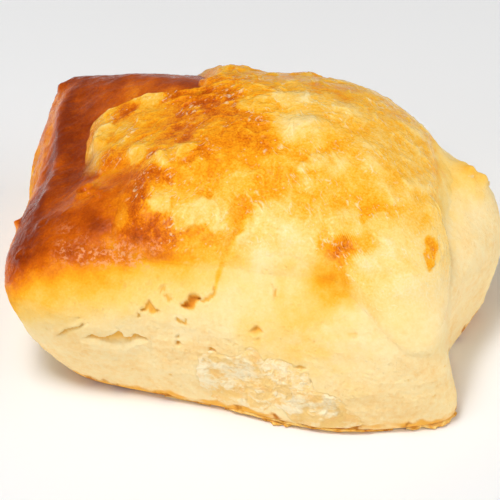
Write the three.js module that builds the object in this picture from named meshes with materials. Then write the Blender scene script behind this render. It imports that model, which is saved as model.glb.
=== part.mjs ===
// Cheese scone: a square-cut baked dough body with a melted, toasted cheese layer over its crown.
// Millimetres, +Z up, +X along the long front wall, +Y to the back. It rests on its flat base.
import * as THREE from "three";

// ---------- driving dimensions: dough ----------

// Reach of each wall from the middle, at the foot and at the rim, and the swell between them.
const SIDES = {
  right: { foot: 43, rim: 44.6, belly: 3 },
  back: { foot: 33, rim: 35.2, belly: 1 },
  left: { foot: 38, rim: 42.5, belly: 3 },
  front: { foot: 37, rim: 38.5, belly: 1.5 },
};

// Corners: how square they are in plan at foot and rim, how far they are drawn out there [x, y],
// the height of the top's edge and how square the shoulder is.
const CORNERS = {
  frontLeft: { footSquare: 7.5, rimSquare: 7, foot: [2.2, 2.4], rim: [-4.8, -2.3], edge: 28, shoulder: 5 },
  frontRight: { footSquare: 10, rimSquare: 6, foot: [2.2, -1], rim: [-1, 0.5], edge: 28, shoulder: 3.2 },
  backRight: { footSquare: 2.2, rimSquare: 2.25, foot: [0, 0], rim: [0, 0], edge: 26.5, shoulder: 2.8 },
  backLeft: { footSquare: 5, rimSquare: 16, foot: [0, 0], rim: [-5.4, 0], edge: 28.3, shoulder: 14 },
};
const CORNER_FOCUS = 3;
const BELLY_HEIGHT = 15;
const FOOT_RADIUS = 2;
const CROWN_HEIGHT = 43;
const CROWN_FALL = 1.1;
const CROWN_X = 8;

// Soft local forms: where, how wide, and the push there.
const FORMS = [
  { name: "tuck of the right wall", at: [46, -20, 7], radius: 14, push: [-7, 0, 0] },
  { name: "waist of the front right corner", at: [46, -31, 18], radius: 16, push: [-6, 0, 0] },
  { name: "swell of the front foot", at: [17, -38, 0], radius: 22, push: [0, -5.2, 0] },
  { name: "bulge of the left wall", at: [-44, 10, 13], radius: 19, push: [-6, 0, 0] },
  { name: "hollow of the left ridge", at: [-47, 21, 27], radius: 11, push: [1.2, 0, 0] },
  { name: "swell of the left ridge", at: [-45, -14, 24], radius: 11, push: [-1.2, 0, 0.6] },
  { name: "swell of the right wall", at: [46, 0, 9], radius: 18, push: [1.4, 0, 0] },
  { name: "lip beside the cheese", at: [42, 5, 25], radius: 9, push: [0, 0, 4.6] },
];

// Sunken marks in the front wall: a line, the reach of the mark round it, its depth and roughness.
const MARKS = [
  { name: "open crack", from: [-28, -40, 17.5], to: [-17, -40, 15.6], radius: 2.4, depth: 1.2, rough: 0 },
  { name: "tear", from: [-10, -38, 24], to: [-5, -36, 26.5], radius: 2.2, depth: 0.9, rough: 0 },
  { name: "torn crumb", from: [-4, -40, 11.5], to: [16, -42, 7], radius: 6, depth: 1.4, rough: 0.6 },
];

// ---------- driving dimensions: melted cheese ----------

const CHEESE_GAP = 0.4;
const CHEESE_THICK = 2.1;
const CHEESE_EDGE_THICK = 0.7;
const CHEESE_DRAPE_THICK = 1.1;
const CHEESE_REACH = 1.08;

// Lobes and bays of the cheese edge, by bearing in degrees, added to its reach.
const CHEESE_LOBES = [
  { name: "short of the left ridge", at: 180, wide: 75, add: -0.22 },
  { name: "bay at the back left", at: 132, wide: 20, add: -0.5 },
  { name: "bay at the front left", at: -129, wide: 22, add: -0.3 },
  { name: "drape over the front right corner", at: -46, wide: 14.5, add: 0.97 },
];

// Soft lumps and hollows of the cheese, in plan.
const CHEESE_LUMPS = [
  { at: [-22, -9], radius: 5, rise: 0.8 },
  { at: [-13, -15], radius: 6, rise: 0.9 },
  { at: [-9, -25], radius: 6, rise: 1.0 },
  { at: [7, -29], radius: 7, rise: 1.1 },
  { at: [4, 12], radius: 8, rise: 0.4 },
  { at: [14, -1], radius: 8, rise: 0.8 },
  { at: [28, -28], radius: 7, rise: 1.0 },
  { at: [30, 6], radius: 9, rise: -0.6 },
  { at: [-10, 15], radius: 7, rise: 0.7 },
  { at: [-1, -6], radius: 6, rise: -0.7 },
  { at: [18, -22], radius: 5, rise: -0.9 },
  { at: [34, -12], radius: 6, rise: -0.5 },
];

// Fold that runs down the front of the cheese.
const CHEESE_FOLD = { from: [0, -23, 36], to: [-5, -36, 27], radius: 2.6, depth: 1.3 };

// ---------- resolution ----------

const BEARINGS = 92;
const TOP_ROWS = [0, 0.12, 0.24, 0.36, 0.48, 0.6, 0.7, 0.79, 0.87, 0.94, 1];
const SHOULDER_ROWS = [1.06, 1.13, 1.22, 1.34, 1.48, 1.65, 1.82, 2];
const WALL_ROWS = [2.16, 2.32, 2.48, 2.64, 2.78, 2.88, 2.95, 3];
const BASE_ROWS = [3.3, 4];
const CHEESE_TOP_ROWS = 15;
const CHEESE_UNDER_CROWN_ROWS = 6;
const CHEESE_UNDER_EDGE_ROWS = 6;

// ---------- helpers ----------

const mix = (a, b, t) => a + (b - a) * t;
const clamp = (v, low = 0, high = 1) => Math.min(high, Math.max(low, v));
const smooth = (v) => v * v * (3 - 2 * v);

// Share of a mark felt at a point: 1 on its line, fading with distance.
function markShare(point, { from, to, radius }) {
  const line = new THREE.Line3(new THREE.Vector3(...from), new THREE.Vector3(...to));
  const nearest = line.closestPointToPoint(point, true, new THREE.Vector3());
  return Math.exp(-((nearest.distanceTo(point) / radius) ** 4));
}

// The corner that a bearing looks at.
function cornerOf(c, s) {
  if (s < 0) return c < 0 ? CORNERS.frontLeft : CORNERS.frontRight;
  return c < 0 ? CORNERS.backLeft : CORNERS.backRight;
}

// Point of a unit rounded square on a bearing: 2 is a circle, larger is squarer.
function roundedSquare(c, s, squareness) {
  const reach = (Math.abs(c) ** squareness + Math.abs(s) ** squareness) ** (1 / squareness);
  return [c / reach, s / reach];
}

// A corner property blended over the square.
function blend(key, x, y) {
  const front = mix(CORNERS.frontLeft[key], CORNERS.frontRight[key], (x + 1) / 2);
  const back = mix(CORNERS.backLeft[key], CORNERS.backRight[key], (x + 1) / 2);
  return mix(front, back, (y + 1) / 2);
}

// Outline of the dough on a bearing at a level from foot (0) to rim (1), drawn in by `inset`.
function outline(bearing, level, inset) {
  const c = Math.cos(bearing);
  const s = Math.sin(bearing);
  const corner = cornerOf(c, s);
  const [x, y] = roundedSquare(c, s, mix(corner.footSquare, corner.rimSquare, level));
  const reach = (side) => mix(side.foot, side.rim, level) + side.belly * 4 * level * (1 - level) - inset;
  const pull = (2 * Math.abs(c * s)) ** CORNER_FOCUS;
  return [
    reach(x > 0 ? SIDES.right : SIDES.left) * x + pull * mix(corner.foot[0], corner.rim[0], level),
    reach(y > 0 ? SIDES.back : SIDES.front) * y + pull * mix(corner.foot[1], corner.rim[1], level),
  ];
}

// Point of the dough's smooth skin. `row` runs 0 crown, 1 shoulder, 2 belly, 3 foot, 4 base middle.
function smoothPoint(bearing, row) {
  const [cx, cy] = roundedSquare(Math.cos(bearing), Math.sin(bearing), 5);
  const edge = blend("edge", cx, cy);
  const squareness = blend("shoulder", cx, cy);
  let spread = 1;
  let z = 0;
  if (row <= 2) {
    const across = Math.min(row, 1);
    const down = Math.min(2 - row, 1);
    const reach = (across ** squareness + down ** squareness) ** (1 / squareness);
    spread = across / reach;
    const top = edge + (CROWN_HEIGHT - edge) * (1 - spread * spread) ** CROWN_FALL;
    z = BELLY_HEIGHT + ((top - BELLY_HEIGHT) * down) / reach;
  } else {
    z = BELLY_HEIGHT * Math.max(3 - row, 0);
    spread = clamp(4 - row);
  }
  const below = clamp(1 - z / FOOT_RADIUS);
  const inset = FOOT_RADIUS * (1 - Math.sqrt(1 - below * below));
  const [px, py] = outline(bearing, clamp(z / edge), inset);
  const point = new THREE.Vector3(px * spread, py * spread, z);
  if (row < 2) point.x += CROWN_X * (1 - spread);
  const bare = point.clone();
  for (const { at, radius, push } of FORMS) {
    const far = bare.distanceToSquared(new THREE.Vector3(...at)) / (0.72 * radius * radius);
    point.addScaledVector(new THREE.Vector3(...push), Math.exp(-far));
  }
  if (row >= 3) point.z = 0;
  return point;
}

// Point of the dough's skin with the sunken marks.
function doughPoint(bearing, row) {
  const point = smoothPoint(bearing, row);
  if (row <= 1 || row >= 3) return point;
  const ripple = Math.sin(2.1 * point.x) * Math.sin(2.6 * point.z + 1);
  for (const mark of MARKS) {
    const share = markShare(point, mark);
    point.y += share * (mark.depth + mark.rough * ripple);
  }
  return point;
}

// Outward direction of the dough's smooth skin.
function doughNormal(bearing, row) {
  const step = 0.01;
  const at = Math.max(row, 2 * step);
  const along = smoothPoint(bearing + step, at).sub(smoothPoint(bearing - step, at));
  const down = smoothPoint(bearing, at + step).sub(smoothPoint(bearing, at - step));
  return down.cross(along).normalize();
}

// Bearings spaced evenly along the belly outline.
function evenBearings(count) {
  const fine = 3600;
  const travelled = [0];
  let last = smoothPoint(0, 1.6);
  for (let i = 1; i <= fine; i++) {
    const next = smoothPoint((i / fine) * 2 * Math.PI, 1.6);
    travelled.push(travelled[i - 1] + next.distanceTo(last));
    last = next;
  }
  const bearings = [];
  let i = 0;
  for (let k = 0; k < count; k++) {
    const wanted = (k / count) * travelled[fine];
    while (travelled[i + 1] < wanted) i++;
    const part = (wanted - travelled[i]) / (travelled[i + 1] - travelled[i]);
    bearings.push(((i + part) / fine) * 2 * Math.PI);
  }
  return bearings;
}

// Closed solid from rings of points that start and end in a single point, all facing out.
function solidOfRings(first, rings, last) {
  const positions = [];
  const index = [];
  const count = rings[0].length;
  const add = (p) => positions.push(p.x, p.y, p.z);
  add(first);
  rings.flat().forEach(add);
  add(last);
  const id = (ring, k) => 1 + ring * count + (k % count);
  const end = 1 + rings.length * count;
  for (let k = 0; k < count; k++) {
    index.push(0, id(0, k), id(0, k + 1));
    index.push(end, id(rings.length - 1, k + 1), id(rings.length - 1, k));
    for (let ring = 0; ring + 1 < rings.length; ring++) {
      index.push(id(ring, k), id(ring + 1, k), id(ring + 1, k + 1));
      index.push(id(ring, k), id(ring + 1, k + 1), id(ring, k + 1));
    }
  }
  const geometry = new THREE.BufferGeometry();
  geometry.setAttribute("position", new THREE.Float32BufferAttribute(positions, 3));
  geometry.setIndex(index);
  geometry.computeVertexNormals();
  return geometry;
}

// ---------- dough body ----------

function makeBody() {
  const bearings = evenBearings(BEARINGS);
  const rows = [...TOP_ROWS.slice(1), ...SHOULDER_ROWS, ...WALL_ROWS, ...BASE_ROWS.slice(0, -1)];
  const rings = rows.map((row) => bearings.map((bearing) => doughPoint(bearing, row)));
  return solidOfRings(doughPoint(0, 0), rings, doughPoint(0, 4));
}

// ---------- melted cheese ----------

// Row of the dough where the cheese ends on a bearing.
function cheeseEdge(bearing) {
  let reach = CHEESE_REACH;
  for (const { at, wide, add } of CHEESE_LOBES) {
    const turn = THREE.MathUtils.radToDeg(bearing) - at;
    const off = Math.abs(((((turn + 180) % 360) + 360) % 360) - 180);
    reach += add * Math.exp(-((off / wide) ** 4));
  }
  return reach;
}

// Thickness of the cheese at a share of the way to its edge.
function cheeseThickness(point, row, share) {
  const drape = smooth(clamp((row - 1.1) / 0.3));
  let thick = mix(CHEESE_THICK, CHEESE_DRAPE_THICK, drape);
  for (const { at, radius, rise } of CHEESE_LUMPS) {
    const far = (point.x - at[0]) ** 2 + (point.y - at[1]) ** 2;
    thick += rise * Math.exp(-far / (0.72 * radius * radius));
  }
  thick -= CHEESE_FOLD.depth * markShare(point, CHEESE_FOLD);
  return mix(thick, CHEESE_EDGE_THICK, smooth(clamp((share - 0.8) / 0.2)));
}

// Point on top of the cheese, at a share of the way to its edge.
function cheeseTopPoint(bearing, share) {
  const row = share * cheeseEdge(bearing);
  const point = smoothPoint(bearing, row);
  const lift = CHEESE_GAP + cheeseThickness(point, row, share);
  return point.addScaledVector(doughNormal(bearing, row), lift);
}

// Point under the cheese, just clear of the dough.
function cheeseUnderPoint(bearing, row) {
  return smoothPoint(bearing, row).addScaledVector(doughNormal(bearing, row), CHEESE_GAP);
}

// Rows of the underside on a bearing: even over the crown, closing up where the shoulder bends.
function cheeseUnderRow(bearing, step) {
  const edge = cheeseEdge(bearing);
  const bend = Math.min(1, 0.85 * edge);
  if (step <= CHEESE_UNDER_CROWN_ROWS) return (bend * step) / CHEESE_UNDER_CROWN_ROWS;
  const past = (step - CHEESE_UNDER_CROWN_ROWS) / CHEESE_UNDER_EDGE_ROWS;
  return mix(bend, edge, past ** 1.5);
}

function makeCheese() {
  const bearings = evenBearings(BEARINGS);
  const rings = [];
  for (let i = 1; i <= CHEESE_TOP_ROWS; i++) {
    rings.push(bearings.map((bearing) => cheeseTopPoint(bearing, i / CHEESE_TOP_ROWS)));
  }
  for (let i = CHEESE_UNDER_CROWN_ROWS + CHEESE_UNDER_EDGE_ROWS; i >= 1; i--) {
    rings.push(bearings.map((bearing) => cheeseUnderPoint(bearing, cheeseUnderRow(bearing, i))));
  }
  return solidOfRings(cheeseTopPoint(0, 0), rings, cheeseUnderPoint(0, 0));
}

// ---------- group ----------

const body = new THREE.Mesh(
  makeBody(),
  new THREE.MeshStandardMaterial({ color: 0xdcb070, roughness: 0.7 }),
);
body.name = "scone_body";

const cheese = new THREE.Mesh(
  makeCheese(),
  new THREE.MeshStandardMaterial({ color: 0xf0b84a, roughness: 0.45 }),
);
cheese.name = "melted_cheese";

const group = new THREE.Group();
group.name = "cheese_scone";
group.add(body, cheese);

// The origin sits in the middle of the whole outline, at the base.
const box = new THREE.Box3().setFromObject(group);
const middle = box.getCenter(new THREE.Vector3());
for (const mesh of group.children) {
  mesh.geometry.translate(-middle.x, -middle.y, -box.min.z);
}

export default group;
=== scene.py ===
"""Cheese scone: a square-cut baked dough body under a layer of melted, toasted cheese.

Every shape is worked out in millimetres in the form's own frame (X along the long front wall,
Y to the back, Z up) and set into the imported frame, in metres, as the last step.
"""

import logging
import math
from collections.abc import Callable, Iterable
from dataclasses import dataclass
from enum import Enum
from functools import lru_cache

import bpy
import numpy as np
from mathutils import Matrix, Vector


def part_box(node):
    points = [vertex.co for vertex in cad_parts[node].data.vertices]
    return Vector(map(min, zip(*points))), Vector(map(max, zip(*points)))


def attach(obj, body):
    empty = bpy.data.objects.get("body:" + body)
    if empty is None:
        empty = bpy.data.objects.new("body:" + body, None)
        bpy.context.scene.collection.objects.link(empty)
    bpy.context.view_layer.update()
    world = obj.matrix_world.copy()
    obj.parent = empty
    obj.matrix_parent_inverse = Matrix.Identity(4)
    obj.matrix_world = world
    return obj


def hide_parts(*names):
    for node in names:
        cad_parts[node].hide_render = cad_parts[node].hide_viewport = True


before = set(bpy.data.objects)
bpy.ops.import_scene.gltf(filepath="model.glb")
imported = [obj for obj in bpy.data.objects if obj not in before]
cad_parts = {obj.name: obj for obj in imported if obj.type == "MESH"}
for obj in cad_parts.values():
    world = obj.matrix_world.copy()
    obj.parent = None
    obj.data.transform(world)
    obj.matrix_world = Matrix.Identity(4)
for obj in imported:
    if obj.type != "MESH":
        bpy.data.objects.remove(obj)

log = logging.getLogger("scone")
Array = np.ndarray
Number = Array | float
Point = tuple[float, float, float]
FlatPoint = tuple[float, float]
Colour = tuple[float, float, float, float]
Stops = tuple[tuple[float, Point], ...]
Socket = bpy.types.NodeSocket
Value = Socket | float | tuple
Body = tuple[Array, Array, Array]
MM = 0.001


class Slot(Enum):
    """The record's material slots."""

    DOUGH = "baked_dough"
    CHEESE = "toasted_cheese"


# ---------------------------------------------------------------- small maths


def mix(a: Number, b: Number, t: Number) -> Number:
    """Straight blend from a to b by share t."""
    return a + (b - a) * t


def ramp(value: Number, low: Number, high: Number) -> Number:
    """Smooth step: 0 below low, 1 above high, an S curve between (low may exceed high)."""
    t = np.clip((value - low) / (high - low), 0.0, 1.0)
    return t * t * (3.0 - 2.0 * t)


def unit(vectors: Array) -> Array:
    """Vectors scaled to length one."""
    return vectors / np.maximum(np.linalg.norm(vectors, axis=-1, keepdims=True), 1e-12)


class Lattice:
    """Seeded noise on whole arrays of points, from random numbers held on a cubic lattice."""

    CORNERS = np.array([[i, j, k] for i in (0, 1) for j in (0, 1) for k in (0, 1)])
    NEIGHBOURS = np.array([[i, j, k] for i in (-1, 0, 1) for j in (-1, 0, 1) for k in (-1, 0, 1)])

    @staticmethod
    def hashed(cell: Array, seed: int) -> Array:
        """Random numbers for lattice cells.

        Formula: the three whole coordinates are multiplied by large odd numbers, added,
        and their bits folded twice.

        Args:
            cell: whole-number coordinates, last axis 3.
            seed: which set of random numbers.

        Returns:
            Numbers in 0..1, one per cell.
        """
        c = cell.astype(np.int64)
        mask = 0xFFFFFFFF
        h = (c[..., 0] * 374761393 + c[..., 1] * 668265263 + c[..., 2] * 1440662683 + seed * 97369) & mask
        h = ((h ^ (h >> 13)) * 1274126177) & mask
        h = ((h ^ (h >> 15)) * 2246822519) & mask
        return (h ^ (h >> 16)) / float(mask)

    @classmethod
    def gradient(cls, points: Array, size: float, seed: int) -> Array:
        """Gradient noise, about -1..1.

        Formula: each lattice corner holds a random slope; the eight planes round a point are
        blended with a fifth-order fade.

        Args:
            points: positions, last axis 3.
            size: lattice spacing.
            seed: which noise.

        Returns:
            One value per point.
        """
        q = points / size
        base = np.floor(q)
        f = q - base
        fade = f * f * f * (f * (f * 6.0 - 15.0) + 10.0)
        total = np.zeros(points.shape[:-1])
        for corner in cls.CORNERS:
            slopes = np.stack([cls.hashed(base + corner, seed + 31 * k) for k in range(3)], -1) * 2.0 - 1.0
            weight = np.prod(np.where(corner == 1, fade, 1.0 - fade), axis=-1)
            total += weight * np.sum(slopes * (f - corner), axis=-1)
        return total * 1.9

    @classmethod
    def fractal(cls, points: Array, size: float, octaves: int, seed: int) -> Array:
        """Sum of gradient noises, each half the size and half the height of the last.

        Args:
            points: positions, last axis 3.
            size: lattice spacing of the widest noise.
            octaves: how many noises.
            seed: which noise.

        Returns:
            One value per point.
        """
        total = np.zeros(points.shape[:-1])
        for octave in range(octaves):
            total += cls.gradient(points, size / 2**octave, seed + 101 * octave) / 2**octave
        return total

    @classmethod
    def ridged(cls, points: Array, size: float, octaves: int, seed: int) -> Array:
        """Sharp-crested noise in 0..1: one less twice the absolute value of gradient noise.

        Args:
            points: positions, last axis 3.
            size: lattice spacing of the widest noise.
            octaves: how many noises.
            seed: which noise.

        Returns:
            One value per point.
        """
        total = np.zeros(points.shape[:-1])
        height = 0.0
        for octave in range(octaves):
            slope = np.abs(cls.gradient(points, size / 2**octave, seed + 57 * octave))
            total += (1.0 - np.minimum(slope * 2.0, 1.0)) / 2**octave
            height += 1.0 / 2**octave
        return total / height

    @classmethod
    def warped(cls, points: Array, size: float, amount: float, seed: int) -> Array:
        """Points moved by three independent noises of the given size, by up to `amount`."""
        return points + amount * np.stack([cls.gradient(points, size, seed + 7 * k) for k in range(3)], -1)

    @classmethod
    def cells(cls, points: Array, size: float, seed: int) -> tuple[Array, Array]:
        """Distance to scattered seeds, one in each lattice cell.

        Formula: in the 27 cells round a point each holds a seed at a random place; the nearest
        is kept.

        Args:
            points: positions, last axis 3.
            size: lattice spacing.
            seed: which scatter.

        Returns:
            Distance to the nearest seed, and that seed's own random number.
        """
        q = points / size
        base = np.floor(q)
        near = np.full(points.shape[:-1], 9.0)
        tone = np.zeros(points.shape[:-1])
        for step in cls.NEIGHBOURS:
            cell = base + step
            place = cell + np.stack([cls.hashed(cell, seed + 13 * k) for k in range(3)], -1)
            far = np.linalg.norm(q - place, axis=-1)
            closer = far < near
            tone = np.where(closer, cls.hashed(cell, seed + 77), tone)
            near = np.where(closer, far, near)
        return near * size, tone

    @classmethod
    def domes(cls, points: Array, size: float, radius: float, seed: int, power: float = 5.0) -> Array:
        """Heaped soft domes with creases between them, about 0..1.

        Formula: each lattice cell holds one bell-shaped dome at a random place and of a random
        height; the domes are joined by a power mean, so the highest wins with a narrow crease.

        Args:
            points: positions, last axis 3.
            size: lattice spacing.
            radius: radius of a dome.
            seed: which scatter.
            power: how narrow the creases are.

        Returns:
            One height per point.
        """
        q = points / size
        base = np.floor(q)
        total = np.zeros(points.shape[:-1])
        for step in cls.NEIGHBOURS:
            cell = base + step
            place = cell + np.stack([cls.hashed(cell, seed + 13 * k) for k in range(3)], -1)
            far = np.sum((q - place) ** 2, axis=-1) * (size / radius) ** 2
            tall = 0.3 + 0.7 * cls.hashed(cell, seed + 77)
            total += (tall * np.exp(-far)) ** power
        return total ** (1.0 / power)


def flat_path_distance(u: Array, v: Array, path: tuple[FlatPoint, ...]) -> tuple[Array, Array]:
    """Distance in a plane from points (u, v) to a run, and how far along the run it is met."""
    points = np.stack([u, v, np.zeros_like(u)], -1)
    return path_distance(points, tuple((a, b, 0.0) for a, b in path))


def path_distance(points: Array, path: tuple[Point, ...]) -> tuple[Array, Array]:
    """Distance from points to a run of straight pieces.

    Formula: each point is dropped square onto each piece, held to its ends, and the least
    distance is kept.

    Args:
        points: positions, last axis 3.
        path: corner points of the run.

    Returns:
        The distance, and how far along the run (0..1) the nearest place is.
    """
    knots = np.array(path, dtype=float)
    best = np.full(points.shape[:-1], 1e9)
    where = np.zeros(points.shape[:-1])
    pieces = len(knots) - 1
    for i in range(pieces):
        start, run = knots[i], knots[i + 1] - knots[i]
        t = np.clip(((points - start) @ run) / (run @ run), 0.0, 1.0)
        far = np.linalg.norm(points - start - t[..., None] * run, axis=-1)
        where = np.where(far < best, (i + t) / pieces, where)
        best = np.minimum(best, far)
    return best, where


# ---------------------------------------------------------------- form of the dough


@dataclass(frozen=True)
class Side:
    """Reach of one wall from the middle at foot and rim, and the swell between, in mm."""

    foot: float
    rim: float
    belly: float


@dataclass(frozen=True)
class Corner:
    """One corner: squareness in plan, how far it is drawn out, height of the top's edge, shoulder."""

    foot_square: float
    rim_square: float
    foot: FlatPoint
    rim: FlatPoint
    edge: float
    shoulder: float


@dataclass(frozen=True)
class Swell:
    """A soft local push of the skin."""

    at: Point
    radius: float
    push: Point


@dataclass(frozen=True)
class DoughForm:
    """Smooth skin of the dough as a function of bearing and row.

    Rows run 0 crown, 1 shoulder, 2 belly, 3 foot, 4 middle of the base.
    """

    right: Side = Side(43, 44.6, 3)
    back: Side = Side(33, 35.2, 1)
    left: Side = Side(38, 42.5, 3)
    front: Side = Side(37, 38.5, 1.5)
    front_left: Corner = Corner(7.5, 7, (2.2, 2.4), (-4.8, -2.3), 28, 5)
    front_right: Corner = Corner(10, 6, (2.2, -1), (-1, 0.5), 28, 3.2)
    back_left: Corner = Corner(5, 16, (0, 0), (-5.4, 0), 28.3, 14)
    back_right: Corner = Corner(2.2, 2.25, (0, 0), (0, 0), 26.5, 2.8)
    swells: tuple[Swell, ...] = (
        Swell((46, -20, 7), 14, (-7, 0, 0)),
        Swell((46, -31, 18), 16, (-6, 0, 0)),
        Swell((17, -38, 0), 22, (0, -5.2, 0)),
        Swell((-44, 10, 13), 19, (-6, 0, 0)),
        Swell((-47, 21, 27), 11, (1.2, 0, 0)),
        Swell((-45, -14, 24), 11, (-1.2, 0, 0.6)),
        Swell((46, 0, 9), 18, (1.4, 0, 0)),
        Swell((42, 5, 25), 9, (0, 0, 4.6)),
        Swell((-33, 33, 30), 11, (0, 0, -0.9)),
    )
    corner_focus: float = 3
    blend_square: float = 5
    belly_height: float = 15
    foot_radius: float = 2
    crown_height: float = 43
    crown_fall: float = 1.1
    crown_x: float = 8
    fine_bearings: int = 7201

    def corner_values(self, key: str) -> Array:
        """One property of the corners: front left, front right, back left, back right."""
        corners = (self.front_left, self.front_right, self.back_left, self.back_right)
        return np.array([getattr(corner, key) for corner in corners], dtype=float)

    def blended(self, key: str, bearing: Array) -> Array:
        """A corner property blended over a rounded square by its two coordinates.

        Args:
            key: name of the property.
            bearing: angle round the middle.

        Returns:
            One value per bearing.
        """
        c, s = np.cos(bearing), np.sin(bearing)
        reach = (np.abs(c) ** self.blend_square + np.abs(s) ** self.blend_square) ** (1 / self.blend_square)
        front_left, front_right, back_left, back_right = self.corner_values(key)
        along, across = (c / reach + 1) / 2, (s / reach + 1) / 2
        return mix(mix(front_left, front_right, along), mix(back_left, back_right, along), across)

    def outline(self, bearing: Array, level: Array, inset: Array) -> tuple[Array, Array]:
        """Plan of the dough at a level.

        Formula: a rounded square stretched to the reach of each side, its corners drawn out
        by their own offsets.

        Args:
            bearing: angle round the middle.
            level: 0 at the foot, 1 at the rim.
            inset: how far the outline is drawn in.

        Returns:
            x and y.
        """
        c, s = np.cos(bearing), np.sin(bearing)
        which = 2 * (s >= 0) + 1 * (c >= 0)
        foot_square, rim_square = self.corner_values("foot_square"), self.corner_values("rim_square")
        square = mix(foot_square[which], rim_square[which], level)
        reach = (np.abs(c) ** square + np.abs(s) ** square) ** (1 / square)
        x, y = c / reach, s / reach

        def half(side: Side) -> Array:
            """Reach of one side at this level."""
            return mix(side.foot, side.rim, level) + side.belly * 4 * level * (1 - level) - inset

        pull = (2 * np.abs(c * s)) ** self.corner_focus
        foot, rim = self.corner_values("foot")[which], self.corner_values("rim")[which]
        offset = mix(foot, rim, level[..., None])
        return (
            np.where(x > 0, half(self.right), half(self.left)) * x + pull * offset[..., 0],
            np.where(y > 0, half(self.back), half(self.front)) * y + pull * offset[..., 1],
        )

    def skin(self, bearing: Array, row: Array) -> Array:
        """Points of the smooth skin.

        Formula: a rounded-square profile from crown to belly under a domed top, a wall from
        belly to foot, a flat base, all spread along the outline; then the soft pushes.

        Args:
            bearing: angle round the middle.
            row: 0 crown, 1 shoulder, 2 belly, 3 foot, 4 middle of the base.

        Returns:
            Positions in mm, last axis 3.
        """
        bearing, row = np.broadcast_arrays(np.asarray(bearing, float), np.asarray(row, float))
        edge, square = self.blended("edge", bearing), self.blended("shoulder", bearing)
        across = np.clip(row, 1e-9, 1)
        down = np.clip(2 - row, 0, 1)
        reach = (across**square + down**square) ** (1 / square)
        spread_top = across / reach
        dome = edge + (self.crown_height - edge) * np.maximum(1 - spread_top**2, 0) ** self.crown_fall
        z_top = self.belly_height + (dome - self.belly_height) * down / reach
        on_top = row <= 2
        z = np.where(on_top, z_top, self.belly_height * np.clip(3 - row, 0, 1))
        spread = np.where(on_top, spread_top, np.clip(4 - row, 0, 1))
        below = np.clip(1 - z / self.foot_radius, 0, 1)
        inset = self.foot_radius * (1 - np.sqrt(1 - below**2))
        px, py = self.outline(bearing, np.clip(z / edge, 0, 1), inset)
        lean = np.where(on_top, self.crown_x * (1 - spread), 0)
        points = np.stack([px * spread + lean, py * spread, z], -1)
        bare = points.copy()
        for swell in self.swells:
            far = np.sum((bare - np.array(swell.at)) ** 2, axis=-1) / (0.72 * swell.radius**2)
            points = points + np.exp(-far)[..., None] * np.array(swell.push)
        points[..., 2] = np.where(row >= 3, 0.0, points[..., 2])
        return points

    def outward(self, bearing: Array, row: Array) -> Array:
        """Outward direction of the smooth skin, square to small steps along bearing and row.

        Args:
            bearing: angle round the middle.
            row: rows as for the skin.

        Returns:
            Directions of length one.
        """
        step = 0.01
        at = np.clip(row, 2 * step, None)
        along = self.skin(bearing + step, at) - self.skin(bearing - step, at)
        down = self.skin(bearing, at + step) - self.skin(bearing, at - step)
        return unit(np.cross(down, along))

    def even_bearings(self, count: int, front_weight: float = 1.0, row: float = 1.6) -> Array:
        """Bearings spaced evenly along the outline, closer on the front wall.

        Args:
            count: how many.
            front_weight: how much closer they lie on the front wall.
            row: the row whose outline is walked.

        Returns:
            Angles in -pi..pi, rising.
        """
        fine = np.linspace(-math.pi, math.pi, self.fine_bearings)
        points = self.skin(fine, np.full_like(fine, row))
        steps = np.linalg.norm(np.diff(points, axis=0), axis=1)
        middle = (points[1:, 1] + points[:-1, 1]) / 2
        steps *= mix(1.0, front_weight, ramp(middle, -24, -33))
        travelled = np.concatenate([[0], np.cumsum(steps)])
        return np.interp(np.arange(count) / count * travelled[-1], travelled, fine)


FORM = DoughForm()


def place_in_frame(points: Array) -> Array:
    """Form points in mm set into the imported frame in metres.

    Formula: the middle of the smooth skin's outline goes to the middle of the CAD body's box.

    Args:
        points: positions in mm.

    Returns:
        Positions in metres.
    """
    bearing = np.linspace(-math.pi, math.pi, 720)[:, None]
    skin = FORM.skin(bearing, np.linspace(0.9, 3, 80)[None, :]).reshape(-1, 3)
    middle = (skin.min(0) + skin.max(0)) / 2
    low, high = (np.array(corner, dtype=float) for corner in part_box("scone_body"))
    offset = (low + high) / 2 / MM - middle
    offset[2] = low[2] / MM
    return (points + offset) * MM


# ---------------------------------------------------------------- meshes


def ring_faces(first: Array, rings: Array, last: Array) -> tuple[Array, list[Array]]:
    """Points and faces of a closed body of rings between two single end points.

    Formula: neighbouring rings are joined by quads, and each end ring by a fan to its point;
    if the body's signed volume comes out below nothing, every face is turned round.

    Args:
        first: start point in mm.
        rings: ring points in mm, shape (rings, round, 3).
        last: end point in mm.

    Returns:
        All points, and the faces as two fans and the quads between.
    """
    count, around = rings.shape[:2]
    points = np.concatenate([first[None], rings.reshape(-1, 3), last[None]])
    k = np.arange(around)
    after = (k + 1) % around
    ring = np.arange(count - 1)[:, None] * around + 1
    quads = np.stack([ring + k, ring + around + k, ring + around + after, ring + after], -1).reshape(-1, 4)
    top = np.stack([np.zeros(around, int), 1 + k, 1 + after], -1)
    end = 1 + (count - 1) * around
    bottom = np.stack([np.full(around, end + around), end + after, end + k], -1)
    corners = points[quads] - points.mean(0)
    volume = np.sum(corners[:, 0] * np.cross(corners[:, 1], corners[:, 2]))
    volume += np.sum(corners[:, 0] * np.cross(corners[:, 2], corners[:, 3]))
    faces = [top, quads, bottom]
    return points, faces if volume > 0 else [group[:, ::-1] for group in faces]


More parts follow.
